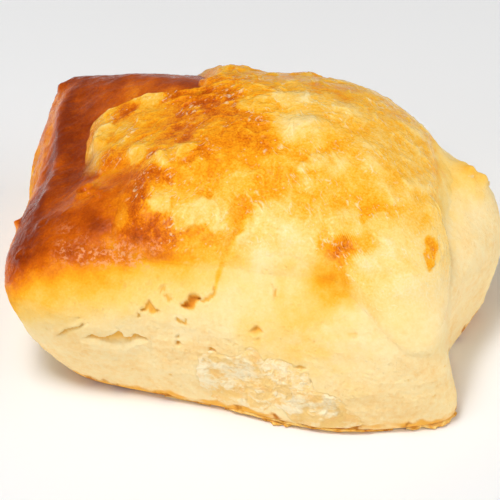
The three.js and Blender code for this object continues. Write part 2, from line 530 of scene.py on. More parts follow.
def mesh_from_rings(
    name: str, first: Array, rings: Array, last: Array, attributes: dict[str, tuple[float, Array, float]]
) -> bpy.types.Object:
    """Closed body from rings of points between two single end points.

    Args:
        name: name of the object.
        first: start point in mm.
        rings: ring points in mm, shape (rings, round, 3).
        last: end point in mm.
        attributes: per-vertex values as (at the start, on the rings, at the end).

    Returns:
        The linked object at the origin.
    """
    points, faces = ring_faces(first, rings, last)
    mesh = mesh_from_faces(name, points, faces)
    for key, (start, values, finish) in attributes.items():
        data = np.concatenate([[start], values.reshape(-1), [finish]]).astype(np.float32)
        mesh.attributes.new(key, "FLOAT", "POINT").data.foreach_set("value", data)
    return link(name, mesh)


def carried_on(
    masks: dict[str, Array], shape: tuple[int, ...], end: float
) -> dict[str, tuple[float, Array, float]]:
    """Masks of a surface carried on at one value over the rings that close it.

    Args:
        masks: values on the surface's rings by name.
        shape: shape of the closing rings.
        end: value on them and at the last point.

    Returns:
        Per-vertex values as mesh_from_rings takes them.
    """
    closing = np.full(shape, end)
    return {
        key: (float(value[0].mean()), np.concatenate([value, closing]), end) for key, value in masks.items()
    }


def mesh_from_bodies(name: str, bodies: Iterable[Body]) -> bpy.types.Object:
    """One piece from several closed bodies of rings.

    Args:
        name: name of the object.
        bodies: start point, rings and end point of each, in mm.

    Returns:
        The linked object at the origin.
    """
    points, groups, total = [], [], 0
    for body in bodies:
        part, faces = ring_faces(*body)
        points.append(part)
        groups += [group + total for group in faces]
        total += len(part)
    return link(name, mesh_from_faces(name, np.concatenate(points), groups))


def mesh_from_faces(name: str, points: Array, groups: list[Array]) -> bpy.types.Mesh:
    """Mesh from points in mm and groups of faces of equal size.

    Args:
        name: name of the mesh.
        points: positions in the form's frame, in mm.
        groups: arrays of corner numbers, each of one face size.

    Returns:
        The smooth-shaded mesh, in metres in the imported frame.
    """
    mesh = bpy.data.meshes.new(name)
    placed = place_in_frame(points)
    mesh.vertices.add(len(placed))
    mesh.vertices.foreach_set("co", placed.astype(np.float32).ravel())
    sizes = np.concatenate([np.full(len(group), group.shape[1]) for group in groups])
    corners = np.concatenate([group.ravel() for group in groups])
    mesh.loops.add(len(corners))
    mesh.loops.foreach_set("vertex_index", corners.astype(np.int32))
    mesh.polygons.add(len(sizes))
    mesh.polygons.foreach_set("loop_start", np.concatenate([[0], np.cumsum(sizes)[:-1]]).astype(np.int32))
    mesh.polygons.foreach_set("use_smooth", np.ones(len(sizes), dtype=bool))
    mesh.update(calc_edges=True)
    mesh.validate()
    return mesh


def link(name: str, mesh: bpy.types.Mesh) -> bpy.types.Object:
    """Puts a mesh into the scene as an object at the origin.

    Args:
        name: name of the object.
        mesh: its mesh.

    Returns:
        The object.
    """
    piece = bpy.data.objects.new(name, mesh)
    bpy.context.scene.collection.objects.link(piece)
    return piece


# ---------------------------------------------------------------- shader building


class Tree:
    """A node tree with short calls for the nodes that the finishes use."""

    def __init__(self, tree: bpy.types.NodeTree) -> None:
        """Keeps the tree to add to."""
        self.tree = tree

    def add(self, kind: str, inputs: dict | None = None, **settings) -> bpy.types.Node:
        """Adds a node.

        Args:
            kind: node type name.
            inputs: socket name or number to a value or to another node's output.
            settings: properties of the node.

        Returns:
            The node.
        """
        node = self.tree.nodes.new(kind)
        for key, value in settings.items():
            setattr(node, key, value)
        for key, value in (inputs or {}).items():
            self.join(value, node.inputs[key])
        return node

    def join(self, value: Value, socket: Socket) -> None:
        """Links an output to a socket, or sets the socket's own value.

        Args:
            value: another node's output, or a plain value.
            socket: where it goes.
        """
        if isinstance(value, Socket):
            self.tree.links.new(value, socket)
        else:
            socket.default_value = value

    def group(self, group: bpy.types.NodeTree, inputs: dict) -> bpy.types.Node:
        """Places a node group with its own input values."""
        return self.add("ShaderNodeGroup", inputs, node_tree=group)

    def math(self, operation: str, a: Value, b: Value = 0.0, clamp: bool = False) -> Socket:
        """Output of a Math node on two values or sockets."""
        node = self.add("ShaderNodeMath", {0: a, 1: b}, operation=operation, use_clamp=clamp)
        return node.outputs[0]

    def times(self, a: Value, b: Value) -> Socket:
        """Product of two values."""
        return self.math("MULTIPLY", a, b)

    def plus(self, a: Value, b: Value) -> Socket:
        """Sum of two values."""
        return self.math("ADD", a, b)

    def attribute(self, name: str) -> Socket:
        """Value of a per-vertex attribute."""
        return self.add("ShaderNodeAttribute", attribute_name=name).outputs["Fac"]

    def coordinates(self) -> Socket:
        """Object coordinates."""
        return self.add("ShaderNodeTexCoord").outputs["Object"]

    def drawn(self, vector: Socket, turn: Point, stretch: float) -> Socket:
        """Coordinates in which a texture comes out drawn along the turned X axis."""
        inputs = {"Vector": vector, "Rotation": turn, "Scale": (stretch, 1.0, 1.0)}
        return self.add("ShaderNodeMapping", inputs, vector_type="TEXTURE").outputs["Vector"]

    def noise(
        self,
        vector: Socket,
        scale: Value,
        detail: float = 2.0,
        roughness: float = 0.5,
        distortion: float = 0.0,
    ) -> Socket:
        """Value of a noise texture; scale is in cycles per metre."""
        inputs = {"Vector": vector, "Scale": scale, "Detail": detail, "Roughness": roughness}
        return self.add("ShaderNodeTexNoise", inputs | {"Distortion": distortion}).outputs[0]

    def cells(self, vector: Socket, scale: float) -> Socket:
        """Distance of a cell texture; scale is in cells per metre."""
        return self.add("ShaderNodeTexVoronoi", {"Vector": vector, "Scale": scale}).outputs["Distance"]

    def span(
        self, value: Value, low: float, high: float, to_low: float = 0.0, to_high: float = 1.0
    ) -> Socket:
        """Value carried smoothly from one span to another, held at its ends."""
        inputs = {"Value": value, "From Min": low, "From Max": high, "To Min": to_low, "To Max": to_high}
        return self.add("ShaderNodeMapRange", inputs, interpolation_type="SMOOTHSTEP").outputs["Result"]

    def between(self, share: Value, a: Value, b: Value) -> Socket:
        """Value from a to b by share."""
        inputs = {"Factor": share, "A": a, "B": b}
        return self.add("ShaderNodeMix", inputs, data_type="FLOAT").outputs["Result"]

    def blend(self, share: Value, a: Value, b: Value) -> Socket:
        """Colour mixed from a to b by share."""
        return self.add("ShaderNodeMix", {0: share, 6: a, 7: b}, data_type="RGBA").outputs[2]

    def colours(self, share: Value, stops: Stops) -> Socket:
        """Colour ramp over a share.

        Args:
            share: where to read the ramp, 0..1.
            stops: place and colour of each stop, in order.

        Returns:
            The colour.
        """
        node = self.add("ShaderNodeValToRGB", {"Fac": share})
        elements = node.color_ramp.elements
        while len(elements) < len(stops):
            elements.new(0.5)
        for element, (place, colour) in zip(elements, stops):
            element.position = place
            element.color = (*colour, 1.0)
        return node.outputs["Color"]

    def bump(self, height: Value, distance: float, strength: float = 1.0) -> Socket:
        """Normal from a height; distance is in metres."""
        inputs = {"Height": height, "Distance": distance, "Strength": strength}
        return self.add("ShaderNodeBump", inputs).outputs["Normal"]


def new_group(
    name: str, inputs: tuple[tuple[str, str, float | None], ...], outputs: tuple[tuple[str, str], ...]
) -> tuple[bpy.types.NodeTree, Tree, dict[str, Socket], Callable[[dict[str, Socket]], None]]:
    """A shared node group with named inputs and outputs, made once.

    Args:
        name: name of the group.
        inputs: name, kind and default of each input.
        outputs: name and kind of each output.

    Returns:
        The group, its tree, its input sockets by name, and a call that links the outputs.
    """
    group = bpy.data.node_groups.new(name, "ShaderNodeTree")
    for label, kind, default in inputs:
        socket = group.interface.new_socket(label, in_out="INPUT", socket_type="NodeSocket" + kind)
        if default is not None:
            socket.default_value = default
    for label, kind in outputs:
        group.interface.new_socket(label, in_out="OUTPUT", socket_type="NodeSocket" + kind)
    source = group.nodes.new("NodeGroupInput")
    target = group.nodes.new("NodeGroupOutput")

    def finish(values: dict[str, Socket]) -> None:
        """Links each value to its output."""
        for label, value in values.items():
            group.links.new(value, target.inputs[label])

    return group, Tree(group), {label: source.outputs[label] for label, _, _ in inputs}, finish


class Coat:
    """A material being made: its node tree and its Principled shader."""

    def __init__(self, name: str) -> None:
        """Makes the material with an empty shader.

        Args:
            name: name of the material.
        """
        self.material = bpy.data.materials.new(name)
        self.material.use_nodes = True
        nodes = self.material.node_tree.nodes
        nodes.clear()
        output = nodes.new("ShaderNodeOutputMaterial")
        self.shader = nodes.new("ShaderNodeBsdfPrincipled")
        self.tree = Tree(self.material.node_tree)
        self.tree.join(self.shader.outputs["BSDF"], output.inputs["Surface"])

    def close(
        self,
        piece: bpy.types.Object,
        colour: Socket,
        rough: Socket,
        normal: Socket,
        scatter: float = 0.2,
        reach: float = 0.0012,
    ) -> None:
        """Joins a finish to the shader, sets how food takes the light, and gives it to a piece.

        Args:
            piece: the piece that wears it.
            colour: base colour.
            rough: roughness.
            normal: normal from the relief.
            scatter: share of the light that travels inside.
            reach: how far it travels, in metres.
        """
        for label, value in (("Base Color", colour), ("Roughness", rough), ("Normal", normal)):
            self.tree.join(value, self.shader.inputs[label])
        self.shader.inputs["Subsurface Weight"].default_value = scatter
        self.shader.inputs["Subsurface Radius"].default_value = (1.0, 0.92, 0.8)
        self.shader.inputs["Subsurface Scale"].default_value = reach
        self.shader.inputs["IOR"].default_value = 1.45
        self.shader.inputs["Specular IOR Level"].default_value = 0.29
        piece.data.materials.append(self.material)


# ---------------------------------------------------------------- bake tones


@dataclass(frozen=True)
class Patch:
    """A place on top by plan position: its radius in mm, bake tone (0 pale, 1 dark) and rise in mm."""

    x: float
    y: float
    radius: float
    tone: float
    rise: float = 0.0

    def bell(self, points: Array, fall: float) -> Array:
        """Bell round the patch in plan: e to the power of minus fall times (distance / radius) squared."""
        far = ((points[..., 0] - self.x) ** 2 + (points[..., 1] - self.y) ** 2) / self.radius**2
        return np.exp(-fall * far)


def patch_rows(*rows: tuple[float, ...]) -> tuple[Patch, ...]:
    """Patches from rows of x, y, radius, tone and, where there is one, rise."""
    return tuple(Patch(*row) for row in rows)


def patch_tone(points: Array, patches: tuple[Patch, ...], base: float) -> Array:
    """Bake tone over the top: the mean of the patches' tones, weighed by a bell round each patch.

    Args:
        points: skin points in mm, pushed about by noise so that no patch is round.
        patches: the patches.
        base: tone far from every patch.

    Returns:
        Tone in 0..1.
    """
    base_weight = 0.05
    total = np.full(points.shape[:-1], base_weight * base)
    weight = np.full(points.shape[:-1], base_weight)
    for patch in patches:
        bell = patch.bell(points, 1.3)
        total += bell * patch.tone
        weight += bell
    return total / weight


def patch_rise(points: Array, patches: tuple[Patch, ...]) -> Array:
    """Height in mm that the patches add, each a soft dome or hollow.

    Args:
        points: skin points in mm.
        patches: the patches.

    Returns:
        Height in mm.
    """
    height = np.zeros(points.shape[:-1])
    for patch in patches:
        if patch.rise:
            height += patch.rise * patch.bell(points, 1.6)
    return height


# ---------------------------------------------------------------- dough body


@dataclass(frozen=True)
class Pit:
    """A small hollow in the front wall: middle (x, z), half sizes, depth."""

    at: FlatPoint
    size: FlatPoint
    depth: float


@dataclass(frozen=True)
class Crack:
    """A crack in the front wall: its run in (x, z), half width, depth, and rise of its upper lip."""

    path: tuple[FlatPoint, ...]
    half_width: float
    depth: float
    lip: float = 0.0


@dataclass(frozen=True)
class Gash:
    """An open split in the front wall between an upper and a lower outline in (x, z)."""

    upper: tuple[FlatPoint, ...]
    lower: tuple[FlatPoint, ...]
    depth: float
    lip: float


@dataclass(frozen=True)
class Blister:
    """A blister or nub in the skin: middle, radius of its ring (0 for a plain nub), width, rise."""

    at: Point
    radius: float
    width: float
    rise: float


@dataclass(frozen=True)
class Glow:
    """A golden area of the front wall: middle (x, z), radius in mm, and the bake it adds."""

    x: float
    z: float
    radius: float
    tone: float


@dataclass(frozen=True)
class TornPatch:
    """The torn crumb low on the front wall: two ellipses in (x, z), the right one tilted.

    Each holds its middle and its half sizes in mm.
    """

    left: tuple[float, float, float, float] = (0.5, 9.3, 8.6, 6.8)
    right: tuple[float, float, float, float] = (12.6, 7.8, 11.6, 5.0)
    tilt: float = -30.0

    def inside(self, points: Array) -> Array:
        """How far inside the tear a point lies: 0 on its edge, 1 in its middle.

        Formula: one minus the nearer ellipse's radius, in noise-pushed coordinates.

        Args:
            points: smooth skin points in mm.

        Returns:
            One share per point, below 0 outside.
        """
        moved = Lattice.warped(points, 4.2, 1.8, 411)
        moved = Lattice.warped(moved, 1.5, 0.7, 437)
        x, z = moved[..., 0], moved[..., 2]
        middle_x, middle_z, long, tall = self.left
        left = ((x - middle_x) / long) ** 2 + ((z - middle_z) / tall) ** 2
        middle_x, middle_z, long, tall = self.right
        turn = math.radians(self.tilt)
        u = (x - middle_x) * math.cos(turn) + (z - middle_z) * math.sin(turn)
        v = -(x - middle_x) * math.sin(turn) + (z - middle_z) * math.cos(turn)
        right = (u / long) ** 2 + (v / tall) ** 2
        return 1.0 - np.sqrt(np.minimum(left, right))


TORN = TornPatch()


@dataclass
class SconeBody:
    """The dough with its crust, cracks, pores and the bed of its torn patch."""

    around: int = 660
    rows: int = 146
    front_weight: float = 1.7
    rim_rise: float = 0.9
    tear_depth: float = 2.3
    shelf_nubs: int = 4
    gash: Gash = Gash(
        upper=(
            (-28.9, 15.9), (-27.0, 17.2), (-25.6, 16.0), (-23.9, 16.6), (-21.8, 18.3), (-20.6, 16.5),
            (-18.4, 17.3), (-16.4, 16.4),
        ),
        lower=(
            (-28.9, 15.9), (-26.5, 15.5), (-24.6, 14.9), (-22.0, 14.5), (-20.4, 15.0), (-18.3, 16.1),
            (-16.4, 16.4),
        ),
        depth=1.0,
        lip=0.35,
    )
    cracks: tuple[Crack, ...] = (
        Crack(((-33.6, 16.0), (-32.4, 16.6), (-31.4, 17.6), (-29.5, 18.6), (-28.7, 19.3)), 0.3, 0.5, 0.15),
        Crack(((-10.0, 24.0), (-8.7, 24.1), (-8.1, 25.0), (-7.3, 25.3)), 0.7, 1.4, 0.1),
        Crack(((-7.4, 25.3), (-6.3, 24.7), (-5.4, 25.3), (-4.7, 26.0), (-4.5, 26.8)), 0.36, 0.55, 0.1),
        Crack(((-17.6, 23.2), (-16.4, 23.7), (-15.6, 22.9), (-14.6, 22.8)), 0.5, 0.7, 0.1),
        Crack(((-18.2, 22.4), (-18.4, 21.0)), 0.22, 0.4, 0.0),
        Crack(((-14.6, 25.6), (-13.8, 26.4)), 0.4, 0.45, 0.0),
        Crack(((-13.7, 25.0), (-12.2, 25.0)), 0.35, 0.45, 0.0),
        Crack(((-11.0, 21.6), (-9.6, 20.8), (-9.4, 21.9)), 0.3, 0.4, 0.0),
        Crack(((4.0, 31.0), (7.5, 31.3), (11.5, 30.6)), 0.15, 0.15, 0.0),
    )
    pits: tuple[Pit, ...] = (
        Pit((3.9, 20.9), (1.2, 0.95), 0.9), Pit((4.5, 19.0), (0.9, 0.8), 0.35),
        Pit((-4.4, 15.3), (0.8, 0.8), 0.8), Pit((-11.0, 16.2), (0.8, 0.75), 0.8),
        Pit((-10.9, 17.6), (0.5, 0.35), 0.5), Pit((-1.3, 18.4), (0.35, 0.35), 0.4),
        Pit((0.0, 17.6), (0.4, 0.35), 0.25), Pit((6.8, 26.4), (0.4, 0.8), 0.6),
        Pit((6.1, 27.4), (0.3, 0.4), 0.4), Pit((14.6, 20.3), (0.35, 0.3), 0.4),
        Pit((12.4, 14.4), (1.1, 0.5), 0.6), Pit((-20.7, 26.5), (0.35, 0.4), 0.5),
        Pit((-16.5, 27.1), (0.5, 0.3), 0.3), Pit((-35.8, 16.4), (0.4, 0.3), 0.35),
        Pit((-39.4, 19.8), (0.5, 0.3), 0.3), Pit((-29.1, 20.8), (0.5, 0.3), 0.3),
        Pit((-28.9, 12.2), (1.0, 0.3), 0.25), Pit((-25.9, 11.7), (0.9, 0.25), 0.2),
        Pit((21.4, 21.4), (1.4, 0.9), 0.3), Pit((32.0, 12.6), (0.5, 0.4), 0.3),
        Pit((37.0, 8.2), (0.7, 0.5), 0.3),
    )
    blisters: tuple[Blister, ...] = (
        Blister((-31.6, -17.6, 34.2), 1.7, 0.5, 0.95),
        Blister((-28.6, -20.6, 35.4), 1.0, 0.5, 0.7),
        Blister((-25.6, -19.6, 36.6), 0.0, 1.3, 0.3),
        Blister((-23.0, -22.4, 36.9), 0.0, 1.6, 0.3),
        Blister((-38.6, -24.4, 30.4), 1.2, 0.7, 0.3),
        Blister((-42.0, -30.5, 27.4), 1.0, 0.8, 0.5),
        Blister((-45.6, -17.2, 24.9), 0.0, 0.8, 1.1),
        Blister((-46.6, 30.0, 27.2), 0.0, 1.1, 0.9),
        Blister((-44.6, 30.6, 28.2), 1.0, 0.6, 0.3),
        Blister((40.6, 3.8, 29.9), 0.0, 1.5, 1.5),
        Blister((43.2, 4.3, 27.9), 0.0, 1.4, 1.4),
        Blister((42.0, 1.4, 29.0), 0.0, 1.0, 0.6),
        Blister((39.4, 6.4, 29.9), 0.0, 1.2, 0.6),
    )
    glows: tuple[Glow, ...] = (
        Glow(17.2, 29.2, 3.8, 0.30), Glow(21.5, 28.8, 3.0, 0.2), Glow(9.0, 22.0, 16.0, 0.13),
    )
    run_down: tuple[Point, ...] = ((-3.5, -32.2, 29.8), (-4.1, -33.7, 28.3), (-4.5, -35.5, 26.6))
    run_tone: float = 0.36
    tones: tuple[Patch, ...] = patch_rows(
        # The paler patch at (-27.5, 16.5) is partly the crust's own tone and partly painted sheen.
        (-41, 21, 6, 0.92), (-36.5, 19, 4, 0.82), (-31, 12, 3.4, 0.70), (-27.5, 16.5, 3.2, 0.62),
        (-39, 4, 7, 0.95), (-36, -6, 4, 0.92), (-35, -10, 3, 0.90), (-39, -18, 4, 0.80),
        (-41.5, -24, 3, 0.97), (-32.5, -15.5, 2.2, 0.66), (-28.5, -15.6, 2.6, 0.58),
        # The patch at (-31.8, -17.2) is painted shade in the well of the ringed blister there.
        (-29.8, -18.5, 2.4, 0.66), (-31.8, -17.2, 1.9, 0.93), (-24.4, -13.8, 1.8, 0.57),
        (-21.0, -14.4, 1.8, 0.48), (-27.7, -13.4, 1.8, 0.55), (-30.5, -15.0, 1.6, 0.55),
        (-25.2, -19.5, 2.8, 0.69), (-32.8, -20.8, 2.6, 0.66), (-28.6, -22.4, 2.4, 0.72),
        (-24.2, -23.8, 2.6, 0.66), (-20.5, -22.6, 2.4, 0.56), (-35, -25, 3, 0.86),
        (-30.6, -25.2, 2.4, 0.82), (-27.4, -28, 2.6, 0.90), (-23.4, -26.6, 2.2, 0.58),
        (-34.6, -29.4, 2.4, 0.76), (-31, -29.6, 2.0, 0.78), (-27.4, -31.2, 2.0, 0.66),
        (-21.8, -29.8, 2.2, 0.68), (-18.6, -29.6, 2.2, 0.72), (-15.6, -29.3, 2.2, 0.66),
        (-24, -32.5, 2.2, 0.56), (-18, -32.2, 2.4, 0.54), (-20, 9.5, 3.2, 0.66), (-16, 8, 3, 0.72),
        (-11, -28.5, 3.4, 0.42), (-5, -29.5, 4, 0.32), (-13, -24, 3, 0.42), (-24, 27, 9, 0.86),
    )

    def grid(self) -> tuple[Array, Array]:
        """Bearings and rows of the mesh.

        Formula: a row is looked up from its share of the way down; where the cheese hides the top
        the rows are spent on the wall, elsewhere on crust and wall alike.

        Returns:
            Bearings and rows, both of the mesh's shape.
        """
        bearings = FORM.even_bearings(self.around, self.front_weight)
        share = np.linspace(0, 1, self.rows)
        marks = (0.1, 0.48, 0.98, 1.25, 2.0, 2.92, 3.0)
        open_top = np.interp(share, (0, 0.02, 0.30, 0.43, 0.64, 0.97, 1.0), marks)
        covered = np.interp(share, (0, 0.02, 0.07, 0.18, 0.48, 0.97, 1.0), marks)
        degrees = np.degrees(bearings)
        hidden = ramp(degrees, -118, -98) * ramp(degrees, 130, 108)
        row = open_top[:, None] + (covered - open_top)[:, None] * hidden
        row = np.concatenate([row, np.full((1, self.around), 3.12), np.full((1, self.around), 3.5)])
        return np.broadcast_to(bearings, row.shape), row

    def baked(self, points: Array, row: Array) -> Array:
        """How far the skin is browned, 0 pale to 1 dark.

        Formula: on the front wall the middle tone sits at a height that rises from the left
        corner to the right, with a quick rise to brown above and a slow fade below; the left and
        back walls are half browned; the top takes the tones of its patches; the right stays pale.

        Args:
            points: smooth skin points in mm.
            row: their rows.

        Returns:
            Tone in 0..1.
        """
        wander = 1.0 * Lattice.fractal(points, 8.0, 2, 131) + 0.6 * Lattice.fractal(points, 2.2, 2, 137)
        x, y, z = points[..., 0], points[..., 1], points[..., 2]
        middle = 26.2 + 0.25 * (x + 38.0) - 3.2 * ramp(x, -37.0, -43.5) + wander
        above = np.minimum(0.48 + 0.095 * np.maximum(z - middle, 0.0), 1.0)
        front = np.where(z > middle, above, 0.48 * np.exp(np.minimum(z - middle, 0.0) / 6.2))
        speckled = 0.10 * Lattice.fractal(points, 3.2, 3, 139)
        rim = 0.40 * ramp(z, 24.6, 26.6) * ramp(y, -7.0, -13.0)
        left = np.clip(mix(0.60, 0.36, ramp(z, 26.0, 12.0)) + rim + speckled, 0.2, 0.95)
        side = mix(front, left, ramp(x, -42.0, -45.5) * ramp(y, -27.0, -20.0))
        back = np.clip(0.5 + 0.05 * (z - 22.0 - 0.12 * (x + 40.0) + wander), 0.12, 0.9)
        side = mix(side, back, ramp(y, 24.0, 30.0))
        pushed = Lattice.warped(Lattice.warped(points, 4.0, 1.2, 149), 1.4, 0.5, 151)
        top = patch_tone(pushed, self.tones, 0.9)
        whole = mix(side, top, ramp(row, 1.02, 0.90) * ramp(z, 28.0, 30.5))
        on_front = ramp(y, -24.0, -30.0)
        right = 0.03 + 0.14 * ramp(z, 22.0, 33.0) * (1 - 0.75 * on_front) + 0.04 * wander
        for glow in self.glows:
            far = (pushed[..., 0] - glow.x) ** 2 + (1.4 * (pushed[..., 2] - glow.z)) ** 2
            right = right + on_front * glow.tone * np.exp(-far / glow.radius**2)
        for nub in self.blisters[-self.shelf_nubs :]:
            right = right + 0.06 * np.exp(-np.sum((points - np.array(nub.at)) ** 2, axis=-1) / 3.5)
        whole = mix(whole, right, ramp(x, -7.0, 4.0) * ramp(y, 30.0, 22.0))
        far, share = path_distance(Lattice.warped(points, 3.0, 0.3, 557), self.run_down)
        line = np.exp(-((far / mix(0.8, 0.4, share)) ** 2))
        return np.clip(np.maximum(whole, self.run_tone * line), 0.0, 1.0)

    @staticmethod
    def wrinkles(points: Array, way: Point, seed: int) -> Array:
        """Fine wrinkles drawn out along a direction: ridged noise on points squeezed along it.

        Args:
            points: smooth skin points in mm.
            way: the direction.
            seed: which noise.

        Returns:
            Height about zero.
        """
        along = unit(np.array(way))
        pushed = Lattice.warped(points, 6.0, 1.2, seed)
        return Lattice.ridged(pushed - 0.86 * (pushed @ along)[..., None] * along, 1.7, 3, seed + 9) - 0.45

    @staticmethod
    def shoulder(points: Array, row: Array) -> Array:
        """Share of the bubbly, shiny band along the front left shoulder, broken up by noise; the finishes
        paint pale highlight specks into it.

        Args:
            points: smooth skin points in mm.
            row: their rows.

        Returns:
            Share in 0..1.
        """
        x, y = points[..., 0], points[..., 1]
        along = ramp(x, -36.5, -32.0) * ramp(x, -12.5, -17.0) * ramp(y, -24.0, -28.0)
        across = ramp(row, 0.78, 0.87) * ramp(row, 1.06, 0.95)
        return along * across * ramp(Lattice.fractal(points, 4.0, 3, 83), -0.55, 0.1)

    def crust_relief(self, points: Array, row: Array, crust: Array) -> Array:
        """Relief of the glossy crust.

        Formula: fine wrinkles drawn out along the rim on the left and back, heaped blisters on
        the front shoulder, a low ridge along the left rim, and single blisters and nubs.

        Args:
            points: smooth skin points in mm.
            row: their rows.
            crust: how crusty each is, 0..1.

        Returns:
            Height in mm.
        """
        front = ramp(points[..., 1], -14.0, -24.0)
        behind = ramp(points[..., 1], 12.0, 22.0)
        rising = self.wrinkles(points, (0.35, 0.85, 0.4), 43)
        level = self.wrinkles(points, (1.0, 0.25, 0.1), 47)
        streaks = mix(rising, level, behind)
        pushed = Lattice.warped(points, 2.2, 0.8, 53)
        bubbles = 0.24 * Lattice.domes(pushed, 2.6, 1.5, 59, 3.0)
        bubbles += 0.22 * Lattice.domes(pushed, 1.2, 0.7, 61)
        wide = 0.14 * Lattice.fractal(points, 7.0, 2, 67)
        height = crust * (mix(0.26 * streaks, bubbles - 0.2, front) + wide)
        held = (1 - front) * ramp(points[..., 1], 26.0, 18.0)
        rim = np.exp(-(((row - 1.0) / 0.06) ** 2)) * ramp(points[..., 0], -30.0, -40.0) * held
        valley = np.exp(-(((row - 0.86) / 0.08) ** 2)) * ramp(points[..., 0], -26.0, -36.0) * held
        height = height + self.rim_rise * rim - 0.6 * valley
        for blister in self.blisters:
            far = np.linalg.norm(points - np.array(blister.at), axis=-1)
            ring = np.exp(-(((far - blister.radius) / blister.width) ** 2))
            well = np.exp(-((far / (0.7 * blister.radius + 0.2)) ** 2))
            height = height + blister.rise * (ring - (0.9 * well if blister.radius > 0 else 0.0))
        return height

    @staticmethod
    def waves(points: Array, wall: Number) -> Array:
        """Wide swells of the whole skin, and on the wall the grain of the dough drawn out sideways.

        Args:
            points: smooth skin points in mm.
            wall: how much of the grain to add, 0..1.

        Returns:
            Height in mm.
        """
        flat = points * np.array([0.7, 0.7, 1.25])
        grain = 0.22 * Lattice.fractal(flat, 4.5, 3, 19) + 0.06 * Lattice.fractal(points, 1.1, 2, 23)
        return 0.34 * Lattice.fractal(points, 13.0, 2, 5) + wall * grain

    def wall_faults(self, points: Array) -> tuple[Array, Array]:
        """Cracks, the open gash and the pits of the front wall.

        Formula: each cut is a groove by distance from its run or middle, in the wall's plane,
        with its edge pushed about by noise; the gash is deepest under its upper outline.

        Args:
            points: smooth skin points in mm.

        Returns:
            Height in mm and the painted shade of the cuts, 0..1: darker the deeper in a cut,
            and in each pit darker towards its top.
        """
        moved = Lattice.warped(Lattice.warped(points, 2.2, 0.4, 211), 0.8, 0.25, 223)
        x, z = moved[..., 0], moved[..., 2]
        height, dark = np.zeros_like(x), np.zeros_like(x)
        for fault in self.cracks:
            far, share = flat_path_distance(x, z, fault.path)
            width = fault.half_width * (0.55 + 0.75 * np.sin(np.pi * np.clip(share * 0.92 + 0.04, 0, 1)))
            cut = ramp(far, width * 1.3, width * 0.4)
            above = flat_path_distance(x, z - 1.2 * fault.half_width, fault.path)[0]
            height += fault.lip * ramp(above, 1.9 * fault.half_width, 0.2) * (1 - cut) - fault.depth * cut
            # Painted shade: deeper cracks are painted darker.
            dark = np.maximum(dark, cut * min(0.85, 0.2 + fault.depth / 2.4))
        for pit in self.pits:
            far = np.hypot((x - pit.at[0]) / pit.size[0], (z - pit.at[1]) / pit.size[1])
            cut = ramp(far, 1.15, 0.45)
            shade = ramp(z - pit.at[1], -0.8 * pit.size[1], 0.6 * pit.size[1])
            height -= pit.depth * cut * (0.6 + 0.4 * shade)
            # Painted shade: each pit is painted darker towards its top, under its upper rim.
            dark = np.maximum(dark, cut * min(0.6, 0.15 + 0.4 * pit.depth) * (0.45 + 0.55 * shade))
        upper = np.interp(x, *zip(*self.gash.upper))
        lower = np.interp(x, *zip(*self.gash.lower))
        inside = (x > self.gash.upper[0][0]) * (x < self.gash.upper[-1][0])
        deep = np.clip((z - lower) / np.maximum(upper - lower, 0.05), 0, 1) ** 0.6
        deep *= ramp(upper - z, -0.12, 0.12) * inside
        height -= self.gash.depth * deep * ramp(upper - lower, 0.0, 0.8)
        height += self.gash.lip * inside * np.exp(-(((z - lower + 1.0) / 0.9) ** 2))
        # Painted shade, darker deeper in the gash.
        dark = np.maximum(dark, 0.5 * deep * ramp(upper - lower, 0.0, 0.5))
        front = ramp(points[..., 1], -27.0, -31.0)
        return height * front, dark * front

    def relief(self, points: Array, row: Array) -> tuple[Array, dict[str, Array]]:
        """Height of the skin over its smooth form, and the masks that the finish reads.

        Formula: wide and fine noise, sparse pores from scattered cells, the crust's relief, the
        wall's cuts, and a sunken bed under the torn crumb.

        Args:
            points: smooth skin points in mm.
            row: their rows.

        Returns:
            Height in mm along the normal, and masks by name.
        """
        z = points[..., 2]
        off_base = ramp(z, 0.3, 2.5)
        baked = self.baked(points, row)
        shoulder = self.shoulder(points, row)
        crust = np.maximum(ramp(baked, 0.45, 0.68), 0.95 * shoulder)
        wall = (1 - crust) * off_base

        height = self.waves(points, wall) * off_base
        height += self.crust_relief(points, row, crust)

        near, tone = Lattice.cells(points * np.array([0.8, 0.8, 1.2]), 2.6, 61)
        size = 0.14 + 0.30 * ramp(tone, 0.90, 1.0)
        pores = (tone > 0.86) * ramp(near, size, 0.3 * size) * wall
        height -= 0.2 * pores

        beads = Lattice.domes(Lattice.warped(points, 1.4, 0.5, 89), 0.95, 0.6, 97, 3.0)
        height += 0.22 * shoulder * (beads - 0.5)

        cuts, dark = self.wall_faults(points)
        height += cuts

        inside = TORN.inside(points)
        low_front = (points[..., 1] < -30) * ramp(z, 0.8, 2.2)
        bed = ramp(inside, 0.0, 0.20) * low_front
        height = mix(height, -self.tear_depth, bed)

        masks = {
            "baked": baked,
            "crust": crust,
            "bubbly": shoulder,
            # Painted shade of the cuts and of the pores.
            "cut": np.maximum(dark, 0.35 * pores) * (1 - bed),
            "torn": bed,
            "foot": ramp(z + 0.9 * Lattice.fractal(points, 3.0, 2, 71), 2.7, 1.9),
        }
        return height, masks

    def build(self) -> bpy.types.Object:
        """Builds the dough mesh with its masks.

        Returns:
            The piece.
        """
        bearing, row = self.grid()
        smooth = FORM.skin(bearing, row)
        height, masks = self.relief(smooth, row)
        points = smooth + height[..., None] * FORM.outward(bearing, row)
        points[..., 2] = np.where(row >= 3, 0.0, np.maximum(points[..., 2], 0.0))
        first = FORM.skin(np.zeros(1), np.zeros(1))[0]
        last = FORM.skin(np.zeros(1), np.full(1, 4.0))[0]
        attributes = {
            key: (float(value[0].mean()), value, float(value[-1].mean())) for key, value in masks.items()
        }
        piece = mesh_from_rings("scone_dough", first, points, last, attributes)
        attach(piece, "root")
        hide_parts("scone_body")
        log.info("dough: %d faces", len(piece.data.polygons))
        return piece


